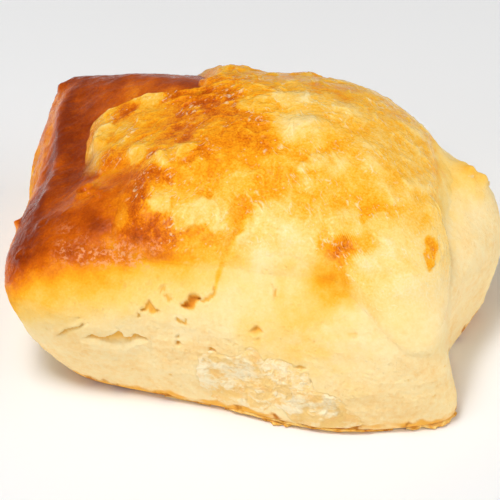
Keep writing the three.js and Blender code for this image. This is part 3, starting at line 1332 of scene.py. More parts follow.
@dataclass
class TornCrumb:
    """The rough crumb that shows where the front wall is torn, a thin body on its own fine mesh.

    Its middle and reach are a bearing in degrees and a row.
    """

    middle: FlatPoint = (-80.5, 2.36)
    reach: FlatPoint = (30.0, 0.62)
    around: int = 420
    rings: int = 110

    def build(self) -> bpy.types.Object:
        """Builds the torn crumb.

        Formula: rings spread from the middle over bearing and row; the surface is heaped clumps
        with hollows inside the tear and dives under the wall outside it; a plain back closes it.

        Returns:
            The piece.
        """
        turn = np.linspace(0, 2 * math.pi, self.around, endpoint=False)[None, :]
        share = np.linspace(0, 1, self.rings + 1)[1:][:, None]
        bearing = np.radians(self.middle[0] + self.reach[0] * share * np.cos(turn))
        row = self.middle[1] - self.reach[1] * share * np.sin(turn)
        smooth = FORM.skin(bearing, row)
        normal = FORM.outward(bearing, row)
        inside = TORN.inside(smooth)
        drawn = smooth * np.array([1.0, 1.0, 1.15])
        moved = Lattice.warped(Lattice.warped(drawn, 3.0, 1.0, 307), 1.0, 0.35, 311)
        clumps = Lattice.domes(moved, 1.7, 1.1, 301, 3.0)
        knobs = Lattice.domes(moved, 0.62, 0.42, 303, 3.0)
        wide = Lattice.fractal(moved, 4.5, 2, 319)
        fine = Lattice.fractal(moved, 0.45, 2, 331)
        low = 0.3 * ramp(smooth[..., 2], 7.5, 3.0)
        deep = ramp(Lattice.fractal(Lattice.warped(drawn, 2.5, 1.0, 341), 3.6, 2, 347) + low, 0.05, 0.6)
        rough = 0.24 * wide + 0.26 * (clumps - 0.6) + 0.24 * (knobs - 0.6) + 0.18 * fine - 0.16 * deep
        held = mix(0.2, 0.62, ramp(inside, 0.0, 0.3))
        level = SconeBody.waves(smooth, 1.0) + 0.08 - 0.11 * ramp(inside, 0.16, 0.0)
        height = mix(-3.0, level + rough * held, ramp(inside, -0.10, -0.04))
        height = mix(height, -1.6, ramp(smooth[..., 2], 1.6, 0.7))
        front = smooth + height[..., None] * normal
        back = (smooth - 3.2 * normal)[::-12]
        points = np.concatenate([front, back])
        points[..., 2] = np.maximum(points[..., 2], 0.3)
        # Masks for painted shade in the hollows and painted highlight on the crests.
        hollow = np.clip(ramp(rough, 0.0, -0.5) + 0.6 * deep, 0, 1)
        crest = ramp(rough, -0.05, 0.35)
        attributes = carried_on({"hollow": hollow, "crest": crest}, back.shape[:-1], 1.0)
        piece = mesh_from_rings("torn_crumb", points[0].mean(0), points, points[-1].mean(0), attributes)
        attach(piece, "root")
        log.info("torn crumb: %d faces", len(piece.data.polygons))
        return piece


# ---------------------------------------------------------------- melted cheese


@dataclass(frozen=True)
class Lobe:
    """A lobe or bay of the cheese edge: bearing and width in degrees, and what it adds to the reach."""

    at: float
    wide: float
    add: float


@dataclass(frozen=True)
class Lump:
    """A lump of cheese with a clear edge: middle, half sizes, turn in degrees, tone, rise in mm."""

    at: Point
    half: FlatPoint
    turn: float
    tone: float
    rise: float = 0.4

    def far(self, points: Array) -> Array:
        """Distance from the middle over the half sizes, 1 on the edge.

        Formula: the offset along Y is lengthened by the drop in height, so that a lump keeps its
        shape on a slope; the two offsets are turned and each divided by its half size.

        Args:
            points: skin points in mm.

        Returns:
            One distance per point.
        """
        off = points - np.array(self.at)
        deep = np.copysign(np.hypot(off[..., 1], off[..., 2]), off[..., 1])
        c, s = math.cos(math.radians(self.turn)), math.sin(math.radians(self.turn))
        along, across = off[..., 0] * c + deep * s, deep * c - off[..., 0] * s
        return np.hypot(along / self.half[0], across / self.half[1])


@dataclass
class CheeseLayer:
    """The melted cheese over the crown, with its lumps, wrinkles and half-melted shreds."""

    thick: float = 2.1
    edge_thick: float = 0.9
    thin_edge: float = 0.04
    drape_thick: float = 0.7
    reach: float = 1.08
    sunk: float = 0.35
    around: int = 560
    top_rows: int = 160
    under_rows: int = 10
    shreds: int = 520
    seed: int = 12
    lobes: tuple[Lobe, ...] = (
        Lobe(180, 75, -0.22),
        Lobe(137, 20, -0.48),
        Lobe(-142, 16, -0.25),
        Lobe(-46, 14.5, 0.97),
    )
    patches: tuple[Patch, ...] = patch_rows(
        (-12.2, 4.5, 2.8, 0.60), (-11.6, -0.8, 2.0, 0.62), (-13, 10, 2.4, 0.42), (-18, 8.6, 1.8, 0.66),
        (-8.5, 5.5, 2.8, 0.56), (-17.2, 4.1, 1.8, 0.50), (-14.8, 11, 2.4, 0.43, 0.4),
        (-9.5, 10.5, 2.6, 0.42), (-5, 9.5, 3, 0.44), (-3, 12.5, 4, 0.30), (-8.5, 19.6, 4.5, 0.36, 1.1),
        (6, 20.5, 3.6, 0.30, 0.8), (3, 3.3, 3.4, 0.22, 0.3), (-1, 4, 2.6, 0.37), (11.5, 9, 3, 0.37),
        (19, 12, 6, 0.23, 0.5), (5.5, 9.5, 2.6, 0.24, 0.3), (-11.0, 17.5, 2.6, 0.20, 0.4),
        (14, 5, 3, 0.28), (-4, -1.5, 3, 0.48), (-10.4, -3, 3.4, 0.52), (-9.6, -14.4, 2.0, 0.52),
        (-15, -0.6, 2.4, 0.51), (-14.5, -7, 3, 0.52, -0.3), (-6.5, -7.5, 3, 0.44),
        (-18.6, 0.8, 2.2, 0.40), (-22.4, 2.3, 2.6, 0.33, 0.5), (-23.6, 8.6, 2.2, 0.20, 0.5),
        (-27, 6.5, 2.4, 0.56, -0.2), (-29.7, 4.1, 1.6, 0.56, -0.2), (-33.2, 3.6, 2.4, 0.36, 0.3),
        (-32, -2.6, 3, 0.25, 0.6), (-28.6, -3.4, 2.2, 0.37), (-24.8, -3, 2.4, 0.34, 0.4),
        (-20.5, -4.5, 2, 0.40), (-31.5, -8, 2.4, 0.34, 0.2), (-31, -12, 2.2, 0.44),
        (-26.5, -10.5, 3, 0.50), (-22.6, -10.3, 2.3, 0.26, 0.8), (-16.6, -15, 2.2, 0.22, 0.8),
        (-17.6, -13.8, 1.9, 0.58), (-25, -16.5, 3, 0.55, -0.2), (-19.5, -20.5, 2.4, 0.63),
        (-16.8, -20, 1.8, 0.54), (-19.3, -24, 2.2, 0.60), (-11.5, -18, 3, 0.40),
        (-11.6, -31.0, 2.4, 0.52), (-16.4, -24.2, 2.6, 0.23, 0.8), (-11, -24.4, 3.2, 0.20, 0.6),
        (-5, -24.2, 3, 0.22, 0.6), (-8.9, -20.6, 2.4, 0.36), (-13, -28.6, 2.4, 0.46),
        (-17.0, -28.2, 1.8, 0.50), (-10, -31, 2.4, 0.41), (-6.6, -30.6, 2.6, 0.31),
        (0, -8, 3.5, 0.44, -0.3), (8.5, -6, 3.2, 0.10, 0.7), (15, -1, 5, 0.22, 0.3), (27, 1, 8, 0.20),
        (36, -8, 4, 0.12), (34, 10, 6, 0.18), (24, 18, 7, 0.20), (-2.5, -13.5, 4, 0.40),
        (5, -14, 3, 0.26, 0.3), (16, -9, 3, 0.30), (22, -11, 6, 0.19, 0.4), (9.2, -16.2, 2.2, 0.44),
        (10.5, -22.6, 1.8, 0.37, -0.3), (1.0, -11.5, 2.4, 0.44), (-3, -18, 3, 0.36),
        (4, -18.5, 3, 0.34, -0.3), (14, -18, 4, 0.22, 0.4), (22.8, -21.8, 2.2, 0.33, -0.3),
        (32, -12, 6, 0.18, 0.4), (0.4, -23.5, 2, 0.38, -0.5), (8.5, -25.5, 5, 0.12, 0.7),
        (7.5, -31.5, 6, 0.06, 0.5), (18.2, -28.2, 1.7, 0.60, -0.6), (18.8, -29.4, 2.0, 0.42),
        (15.6, -28, 1.8, 0.37), (22.6, -28.4, 2.4, 0.28), (17.0, -33, 2.6, 0.36),
        (22.5, -32.5, 2.4, 0.10), (28, -29, 5, 0.08, 1.0), (36.5, -20, 3.5, 0.08), (33, -31, 5, 0.04),
        (-16, -29.8, 2.4, 0.62), (-19.5, -29.5, 2.4, 0.64),
    )
    lumps: tuple[Lump, ...] = (
        Lump((-31.6, -1.6, 33.6), (6.0, 2.6), 80, 0.17, 0.5),
        Lump((-21.4, -12.2, 38.0), (3.0, 2.2), 70, 0.21, 0.5),
        Lump((-16.5, -15.5, 39.6), (2.0, 1.6), 20, 0.24, 0.35),
        Lump((-12.9, -12.9, 40.6), (2.2, 1.7), 60, 0.25, 0.4),
        Lump((-15.8, -24.7, 36.3), (2.1, 2.4), 0, 0.12, 0.5),
        Lump((-10.3, -25.0, 35.9), (3.2, 2.6), 0, 0.16, 0.5),
        Lump((-12.0, -27.0, 34.7), (1.8, 1.7), 0, 0.17, 0.35),
        Lump((-5.9, -25.6, 35.2), (2.9, 3.4), 0, 0.12, 0.5),
        Lump((5.2, 2.9, 42.9), (3.0, 3.4), 0, 0.12, 0.5),
        Lump((-1.1, 0.7, 42.5), (3.4, 3.4), 0, 0.22, 0.3),
        Lump((11.7, -7.8, 42.3), (4.6, 3.6), 25, 0.17, 0.5),
        Lump((9.0, -5.3, 42.7), (1.7, 2.0), 0, 0.06, 0.2),
        Lump((11.7, -14.5, 40.5), (3.2, 1.5), 40, 0.15, 0.35),
        Lump((18.4, -24.6, 35.0), (3.2, 2.8), 0, 0.12, 0.5),
        Lump((24.6, -24.0, 34.5), (3.2, 2.0), 0, 0.15, 0.3),
        Lump((25.5, -29.6, 30.4), (5.4, 2.3), 0, 0.06, 0.4),
        Lump((30.4, -32.2, 26.9), (2.9, 2.4), 0, 0.02, 0.45),
        Lump((4.0, -31.6, 30.1), (3.3, 2.4), 0, 0.0, 0.3),
        Lump((8.7, -28.3, 32.8), (2.8, 2.2), 0, 0.06, 0.35),
        Lump((28.2, -13.8, 36.3), (1.8, 1.6), 0, 0.11, 0.35),
        Lump((33.1, -15.7, 32.3), (2.6, 1.9), -30, 0.14, 0.4),
        Lump((33.1, -23.3, 30.5), (1.8, 1.2), 0, 0.32, 0.0),
        Lump((33.3, -24.7, 29.5), (1.1, 1.3), 0, 0.32, 0.0),
        Lump((33.5, -26.4, 28.3), (0.45, 2.0), 0, 0.30, 0.0),
        Lump((34.8, -0.6, 31.7), (1.0, 1.1), 0, 0.42, -0.1),
    )
    fold: tuple[Point, ...] = (
        (-1.7, -21.6, 37.5), (-1.4, -24.6, 35.6), (-1.0, -27.0, 34.0), (-2.2, -28.7, 32.8),
        (-3.0, -30.3, 31.4), (-3.5, -32.2, 29.8), (-4.1, -33.7, 28.3),
    )

    def edge(self, bearing: Array) -> Array:
        """Row where the cheese ends on each bearing.

        Formula: a base reach plus flat-topped lobes and bays, and a ragged part from noise on a
        circle.

        Args:
            bearing: bearings.

        Returns:
            One row per bearing.
        """
        reach = np.full_like(bearing, self.reach)
        degrees = np.degrees(bearing)
        for lobe in self.lobes:
            off = np.abs((degrees - lobe.at + 180) % 360 - 180)
            reach = reach + lobe.add * np.exp(-((off / lobe.wide) ** 4))
        circle = np.stack([np.cos(bearing), np.sin(bearing), np.zeros_like(bearing)], -1) * 30.0
        return reach + 0.016 * Lattice.fractal(circle, 7.0, 2, 501)

    @staticmethod
    def soft_side(bearing: Array) -> Array:
        """Share of an edge that thins out and runs into the dough: on the front, right and back."""
        degrees = np.degrees(bearing)
        return ramp(degrees, -104, -92) * ramp(degrees, 128, 108)

    @staticmethod
    def toasted_side(bearing: Array) -> Array:
        """Share of an edge that is thin and baked into the crust: on the front left."""
        degrees = np.degrees(bearing)
        return ramp(degrees, -177, -168) * ramp(degrees, -90, -100)

    def relief(
        self, points: Array, bearing: Array, row: Array, inward: Array
    ) -> tuple[Array, dict[str, Array]]:
        """Height of the top over the smooth skin, and the masks of the finish.

        Formula: an even layer, thinner where it hangs over the corner, with listed domes and hollows,
        a fold, soft lumps, crumpled film and shreds. Near its edge it rides on the dough's own relief:
        a rounded bead on the left, baked into the crust on the front left, and elsewhere it thins out
        and sinks into the dough. Hollows are painted more orange, partly as the oil's own colour and
        partly as painted shade; crests are painted paler as painted highlight.

        Args:
            points: smooth skin points in mm.
            bearing: their bearings.
            row: their rows.
            inward: distance in mm from the edge of the cheese.

        Returns:
            Height in mm, and masks by name.
        """
        pushed = Lattice.warped(Lattice.warped(points, 4.5, 1.0, 541), 1.6, 0.5, 547)
        tone = patch_tone(pushed, self.patches, 0.24)
        drape = ramp(row, 1.05, 1.35)
        thick = mix(self.thick, self.drape_thick, drape) + patch_rise(pushed, self.patches)
        pale = np.zeros_like(tone)
        for lump in self.lumps:
            off = lump.far(pushed)
            share = 0.88 * ramp(off, 1.08, 0.84)
            pale = np.maximum(pale, share * ramp(lump.at[1], -8.0, -11.0))
            tone = mix(tone, lump.tone, share)
            thick = thick + 1.25 * lump.rise * np.clip(1 - (off / 1.3) ** 2, 0, 1) ** 1.5
        far, share = path_distance(Lattice.warped(points, 3.0, 0.3, 557), self.fold)
        wide = mix(1.5, 0.55, ramp(share, 0.1, 0.45))
        fold = np.exp(-((far / wide) ** 2)) * ramp(share, 0.0, 0.12)
        thick = thick - 0.7 * fold + 0.3 * np.exp(-(((far - 1.7) / 0.8) ** 2)) * ramp(share, 0.0, 0.12)
        beside = np.exp(-((far / (2.4 * wide)) ** 2)) * ramp(share, 0.0, 0.3) * (points[..., 0] < 0)
        tone = np.maximum(tone, 0.30 * beside)

        moved = Lattice.warped(points, 5.0, 1.5, 601)
        lumps = Lattice.domes(moved, 4.8, 3.0, 611, 3.0)
        film = Lattice.ridged(Lattice.warped(moved, 3.2, 1.4, 617), 4.4, 2, 619)
        toasty = ramp(tone, 0.32, 0.6)
        grain = Lattice.domes(Lattice.warped(points, 1.8, 0.6, 631), 1.6, 1.0, 641, 3.0)
        calm = mix(1.0, 0.35, ramp(tone, 0.2, 0.04))
        soft = mix(1.0, 0.25, drape)
        shreds = self.shred_height(points) * mix(1.0, 0.3, drape)
        detail = soft * calm * (0.42 * (lumps - 0.6) + 0.16 * (film - 0.5))
        detail += soft * 0.20 * toasty * (grain - 0.6)
        detail = detail + shreds * (0.4 + 0.6 * calm)

        dough, below = SconeBody().relief(points, row)
        soft_side, toasted = self.soft_side(bearing), self.toasted_side(bearing)
        lip = mix(self.edge_thick, self.thin_edge, toasted)
        bead_edge = mix(lip, thick + detail, ramp(inward, mix(0.3, 0.0, toasted), mix(4.0, 9.0, toasted)))
        bead = np.sqrt(np.clip(1 - (1 - np.clip(inward / 0.8, 0, 1)) ** 2, 0, 1))
        bead_edge = mix(-self.sunk, np.maximum(bead_edge, 0.03), bead)
        soft_edge = mix(-self.sunk, np.maximum(thick + detail, 0.3), ramp(inward, -1.0, 9.0))
        height = mix(bead_edge, soft_edge, soft_side) + dough * ramp(inward, 9.0, 4.0)
        height = height - 0.55 * detail * soft_side * ramp(inward, 10.0, 5.0)

        # Hollows painted more orange, partly the oil's own colour and partly painted shade; crests and
        # shreds painted paler as painted highlight.
        low = 0.5 * ramp(lumps, 0.62, 0.35) + 0.5 * ramp(film, 0.42, 0.2)
        high = 0.4 * ramp(film, 0.62, 0.85) + 0.6 * ramp(shreds, 0.08, 0.3)
        blobs = 0.10 * (0.62 - lumps) + 0.07 * (0.6 - grain)
        tone = tone + soft * calm * (0.09 * low - 0.13 * high + blobs)
        tone = tone + 0.08 * toasty * ramp(grain, 0.55, 0.3)
        tone = tone + fold * np.maximum(0.37 - tone, 0.0)
        # Painted shade: the bead's edge and the toasted edge are painted warmer where they turn from the
        # light.
        tone = tone + 0.12 * (1 - soft_side) * ramp(inward, 2.2, 0.3)
        merged = toasted * np.exp(-((inward / 3.8) ** 2)) * (1 - 0.9 * pale)
        hanging = 0.9 * soft_side * ramp(row, 1.08, 1.5)
        fade = np.maximum(np.maximum(soft_side * ramp(inward, 6.5, 2.2), merged), hanging)
        masks = {
            "tone": np.clip(tone, 0, 1),
            "fade": fade * (1 - 0.9 * fold),
            "dry": soft_side * ramp(inward, 9.0, 3.0),
            "calm": np.clip(1 - calm * soft, 0, 1),
            "baked": below["baked"],
            "crust": below["crust"],
            "bubbly": below["bubbly"],
        }
        return height, masks

    def shred_height(self, points: Array) -> Array:
        """Half-melted shreds of grated cheese lying on the layer.

        Formula: each shred is a short run over warped ground, its plan a lens and its section a
        half ellipse; the highest shred wins.

        Args:
            points: smooth skin points in mm.

        Returns:
            Height in mm.
        """
        rng = np.random.default_rng(self.seed)
        flat = Lattice.warped(points, 3.2, 1.3, 701).reshape(-1, 3)
        height = np.zeros(len(flat))
        bearing = rng.uniform(-math.pi, math.pi, self.shreds)
        row = self.edge(bearing) * np.sqrt(rng.uniform(0.0, 0.85, self.shreds))
        middle = FORM.skin(bearing, row)
        turn = rng.normal(0.0, 0.55, self.shreds) + mix(0.8, -0.9, ramp(middle[:, 0], -8.0, 8.0))
        length = rng.uniform(0.7, 3.4, self.shreds)
        tall = rng.uniform(0.08, 0.34, self.shreds)
        wide = rng.uniform(0.28, 0.62, self.shreds)
        for k in range(self.shreds):
            offset = flat - middle[k]
            close = np.sum(offset**2, axis=1) < (length[k] + 1.5) ** 2
            part = offset[close]
            along = part[:, 0] * math.cos(turn[k]) + part[:, 1] * math.sin(turn[k])
            across = part[:, 0] * math.sin(turn[k]) - part[:, 1] * math.cos(turn[k])
            lens = wide[k] * np.clip(1 - (along / length[k]) ** 2, 1e-6, 1)
            body = np.sqrt(np.clip(1 - (across / lens) ** 2, 0, 1)) * np.clip(lens / wide[k], 0, 1) ** 0.5
            height[close] = np.maximum(height[close], tall[k] * body)
        return height.reshape(points.shape[:-1])

    def build(self) -> bpy.types.Object:
        """Builds the cheese as one closed body: the relief on top, a plain underside in the dough.

        Returns:
            The piece.
        """
        bearings = FORM.even_bearings(self.around, 1.2, 1.0)
        edge = self.edge(bearings)
        share = 1 - (1 - np.linspace(0, 1, self.top_rows + 1)[1:]) ** 1.12
        row = share[:, None] * edge[None, :]
        bearing = np.broadcast_to(bearings, row.shape)
        smooth = FORM.skin(bearing, row)
        steps = np.linalg.norm(np.diff(smooth, axis=0), axis=-1)
        inward = np.concatenate([np.cumsum(steps[::-1], axis=0)[::-1], np.zeros((1, self.around))])
        height, masks = self.relief(smooth, bearing, row, inward)
        top = smooth + height[..., None] * FORM.outward(bearing, row)
        under_row = np.linspace(1, 0, self.under_rows + 1)[1:-1][:, None] * edge[None, :]
        under_bearing = np.broadcast_to(bearings, under_row.shape)
        depth = self.sunk * 2.5
        under = FORM.skin(under_bearing, under_row) - depth * FORM.outward(under_bearing, under_row)
        crown = FORM.skin(np.zeros(1), np.zeros(1))[0]
        first = crown + np.array([0, 0, float(height[0].mean())])
        last = crown - np.array([0, 0, depth])
        attributes = carried_on(masks, under_row.shape, 0.0)
        rings = np.concatenate([top, under])
        piece = mesh_from_rings("cheese_blanket", first, rings, last, attributes)
        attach(piece, "root")
        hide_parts("melted_cheese")
        log.info("cheese: %d faces", len(piece.data.polygons))
        return piece


# ---------------------------------------------------------------- foot flakes and crumbs


@dataclass(frozen=True)
class FlakeRun:
    """A run of frayed crust along the foot: start and end bearing in degrees, height, thickness, reach."""

    start: float
    end: float
    lift: float
    thick: float
    reach: float
    seed: int


@dataclass
class FootFlakes:
    """Thin brown flakes of crust that fray out along the foot of the front wall."""

    runs: tuple[FlakeRun, ...] = (
        FlakeRun(-94, -56, 0.0, 0.8, 0.5, 3),
        FlakeRun(-84, -76, 0.0, 0.9, 1.6, 31),
        FlakeRun(-92, -60, 0.8, 0.7, 0.35, 7),
        FlakeRun(-54, -42, 0.0, 1.1, 1.5, 13),
        FlakeRun(-112, -98, 0.0, 0.8, 0.3, 17),
    )
    along: int = 170
    around: int = 16

    def run(self, flake: FlakeRun) -> Body:
        """One run of flake.

        Formula: a flattened ellipse carried along the foot's outline; its width and thickness
        swell and fray with noise and shrink to nothing at both ends.

        Args:
            flake: where the run lies and how big it is.

        Returns:
            Start point, rings and end point, in mm.
        """
        share = np.linspace(0, 1, self.along + 2)[1:-1]
        bearing = np.radians(mix(flake.start, flake.end, share))
        row = np.full_like(bearing, 3 - (flake.lift + 0.5) / FORM.belly_height)
        foot = FORM.skin(bearing, row)
        out = FORM.outward(bearing, row)
        out[:, 2] = 0
        out = unit(out)
        taper = np.sqrt(np.clip(1 - np.abs(2 * share - 1) ** 4, 0, 1))
        fray = 0.6 + 0.35 * Lattice.fractal(foot, 3.5, 2, flake.seed)
        fray += 0.3 * Lattice.gradient(foot, 0.9, flake.seed + 5)
        reach = flake.reach * taper * np.clip(fray, 0.1, 1.4)
        swell = np.clip(0.85 + 0.5 * Lattice.fractal(foot, 2.5, 2, flake.seed + 11), 0.3, 1.5)
        thick = 0.5 * flake.thick * taper * swell
        angle = np.linspace(0, 2 * math.pi, self.around, endpoint=False)
        c, s = np.cos(angle)[None, :], np.sin(angle)[None, :]
        width = (reach + 1.0)[:, None] / 2
        middle = (reach - 1.0)[:, None] / 2
        side = middle + width * c
        curl = 0.12 * Lattice.gradient(foot, 1.3, flake.seed + 23)[:, None] * (flake.lift > 0)
        up = flake.lift + thick[:, None] * (1 + s) + curl
        rings = foot[:, None, :] + side[..., None] * out[:, None, :]
        rings[..., 2] = np.maximum(up, 0.02)
        return rings[0].mean(0), rings, rings[-1].mean(0)

    def build(self) -> bpy.types.Object:
        """Builds all the runs as one mesh.

        Returns:
            The piece.
        """
        piece = mesh_from_bodies("foot_flakes", (self.run(flake) for flake in self.runs))
        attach(piece, "root")
        log.info("foot flakes: %d faces", len(piece.data.polygons))
        return piece


@dataclass(frozen=True)
class Crumb:
    """A loose crumb: middle and radius in mm."""

    at: Point
    radius: float


@dataclass
class LooseCrumbs:
    """Crumbs of dough on the right shelf and beside the torn patch."""

    crumbs: tuple[Crumb, ...] = (
        Crumb((-7.6, -38.3, 6.4), 0.6),
        Crumb((23.6, -42.2, 3.0), 0.6),
        Crumb((40.9, 2.6, 29.7), 0.7),
        Crumb((44.0, 5.2, 26.6), 0.7),
    )
    around: int = 28
    rows: int = 18

    def crumb(self, crumb: Crumb, seed: int) -> Body:
        """One crumb: a ball by bearing and height, its radius pushed about by noise.

        Args:
            crumb: its middle and radius.
            seed: which noise.

        Returns:
            Top point, rings and bottom point, in mm.
        """
        fall = np.linspace(0, math.pi, self.rows + 2)[1:-1][:, None]
        turn = np.linspace(0, 2 * math.pi, self.around, endpoint=False)[None, :]
        across, up = np.sin(fall), np.cos(fall) + 0 * turn
        ball = np.stack([across * np.cos(turn), across * np.sin(turn), up], -1)
        size = crumb.radius * (0.9 + 0.35 * Lattice.fractal(ball * 2.0, 1.6, 3, seed))
        rings = np.array(crumb.at) + ball * size[..., None] * np.array([1.15, 0.9, 0.8])
        tip = np.array([0, 0, 0.02])
        return rings[0].mean(0) + tip, rings, rings[-1].mean(0) - tip

    def build(self) -> bpy.types.Object:
        """Builds all crumbs as one mesh.

        Returns:
            The piece.
        """
        bodies = (self.crumb(crumb, 900 + 17 * number) for number, crumb in enumerate(self.crumbs))
        piece = mesh_from_bodies("loose_crumbs", bodies)
        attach(piece, "root")
        log.info("crumbs: %d faces", len(piece.data.polygons))
        return piece


# ---------------------------------------------------------------- finishes


@lru_cache(maxsize=None)
def mottle_group() -> bpy.types.NodeTree:
    """Shared group: cloudy and speckled variation about zero, from noise at two scales.

    Returns:
        The group.
    """
    group, tree, inputs, finish = new_group(
        "mottle",
        (
            ("Vector", "Vector", None), ("Cloud Scale", "Float", 280.0), ("Speck Scale", "Float", 2300.0),
            ("Cloud Amount", "Float", 0.5), ("Speck Amount", "Float", 0.2),
        ),
        (("Shift", "Float"),),
    )
    cloud = tree.math("SUBTRACT", tree.noise(inputs["Vector"], inputs["Cloud Scale"], 3, 0.6), 0.5)
    speck = tree.math("SUBTRACT", tree.noise(inputs["Vector"], inputs["Speck Scale"], 2, 0.6), 0.5)
    clouds = tree.times(cloud, inputs["Cloud Amount"])
    finish({"Shift": tree.plus(clouds, tree.times(speck, inputs["Speck Amount"]))})
    return group


@lru_cache(maxsize=None)
def crumb_group() -> bpy.types.NodeTree:
    """Shared group: the pale skin of the dough, its colour and its fine grain.

    Returns:
        The group.
    """
    group, tree, inputs, finish = new_group(
        "pale_crumb", (("Vector", "Vector", None),), (("Color", "Color"), ("Height", "Float"))
    )
    place = inputs["Vector"]
    cloud = tree.noise(place, 150, 4, 0.6, 0.4)
    speck = tree.noise(place, 900, 3, 0.65)
    share = tree.plus(tree.times(cloud, 0.6), tree.times(speck, 0.4))
    stops = ((0.34, (0.96, 0.625, 0.24)), (0.5, (0.988, 0.735, 0.36)), (0.68, (1.0, 0.81, 0.46)))
    colour = tree.colours(share, stops)
    fine = tree.noise(place, 1600, 4, 0.7)
    pits = tree.span(tree.cells(place, 1000), 0.0, 0.4)
    height = tree.plus(tree.times(fine, 0.8), tree.times(pits, 0.35))
    finish({"Color": colour, "Height": height})
    return group


@lru_cache(maxsize=None)
def bake_group() -> bpy.types.NodeTree:
    """Shared group: the colour of browning, from golden through orange to deep brown.

    Returns:
        The group.
    """
    group, tree, inputs, finish = new_group("browning", (("Tone", "Float", 0.5),), (("Color", "Color"),))
    stops = (
        (0.00, (1.0, 0.78, 0.42)),
        (0.10, (0.99, 0.70, 0.26)),
        (0.20, (0.98, 0.60, 0.135)),
        (0.30, (0.965, 0.50, 0.05)),
        (0.40, (0.945, 0.405, 0.013)),
        (0.50, (0.90, 0.315, 0.006)),
        (0.60, (0.79, 0.215, 0.003)),
        (0.70, (0.63, 0.125, 0.002)),
        (0.80, (0.50, 0.082, 0.001)),
        (0.90, (0.36, 0.052, 0.001)),
        (1.00, (0.25, 0.030, 0.001)),
    )
    finish({"Color": tree.colours(inputs["Tone"], stops)})
    return group


@lru_cache(maxsize=None)
def skin_group() -> bpy.types.NodeTree:
    """Shared group: the dough's skin, pale where hardly baked and browned by its tone.

    Returns:
        The group.
    """
    group, tree, inputs, finish = new_group(
        "baked_skin",
        (("Vector", "Vector", None), ("Baked", "Float", 0.5)),
        (("Color", "Color"), ("Shift", "Float"), ("Grain", "Float")),
    )
    baked = inputs["Baked"]
    crumb = tree.group(crumb_group(), {"Vector": inputs["Vector"]})
    mottle = {"Vector": inputs["Vector"], "Cloud Amount": 0.45, "Speck Amount": 0.3}
    shift = tree.group(mottle_group(), mottle).outputs["Shift"]
    change = tree.times(shift, tree.span(baked, 0.03, 0.4, 0.1, 0.75))
    tone = tree.math("ADD", baked, change, clamp=True)
    brown = tree.group(bake_group(), {"Tone": tone}).outputs["Color"]
    colour = tree.blend(tree.span(tone, 0.02, 0.18), crumb.outputs["Color"], brown)
    finish({"Color": colour, "Shift": shift, "Grain": crumb.outputs["Height"]})
    return group


@lru_cache(maxsize=None)
def gloss_group() -> bpy.types.NodeTree:
    """Shared group: small blisters and dents in a glossy crust, stronger in the bubbly band.

    Returns:
        The group.
    """
    group, tree, inputs, finish = new_group(
        "crust_gloss",
        (("Vector", "Vector", None), ("Crust", "Float", 1.0), ("Bubbly", "Float", 0.0)),
        (("Height", "Float"),),
    )
    wide = tree.noise(inputs["Vector"], 600, 2, 0.6, 0.6)
    fine = tree.noise(inputs["Vector"], 1500, 2, 0.6)
    dents = tree.plus(tree.times(wide, 0.7), tree.times(fine, 0.6))
    shine = tree.plus(inputs["Crust"], tree.times(inputs["Bubbly"], 1.8))
    finish({"Height": tree.times(dents, shine)})
    return group


@lru_cache(maxsize=None)
def highlight_speck_group() -> bpy.types.NodeTree:
    """Shared group: paints pale pinkish highlight specks of the bubbly band over a colour.

    Returns:
        The group.
    """
    group, tree, inputs, finish = new_group(
        "bubbly_painted_highlights",
        (("Vector", "Vector", None), ("Color", "Color", None), ("Bubbly", "Float", 0.0)),
        (("Color", "Color"),),
    )
    highlight_specks = tree.span(tree.noise(inputs["Vector"], 1250, 3, 0.7), 0.48, 0.60, 0.0, 0.6)
    share = tree.times(inputs["Bubbly"], highlight_specks)
    # Pale pinkish colour of the painted highlight specks.
    finish({"Color": tree.blend(share, inputs["Color"], (0.93, 0.44, 0.20, 1))})
    return group


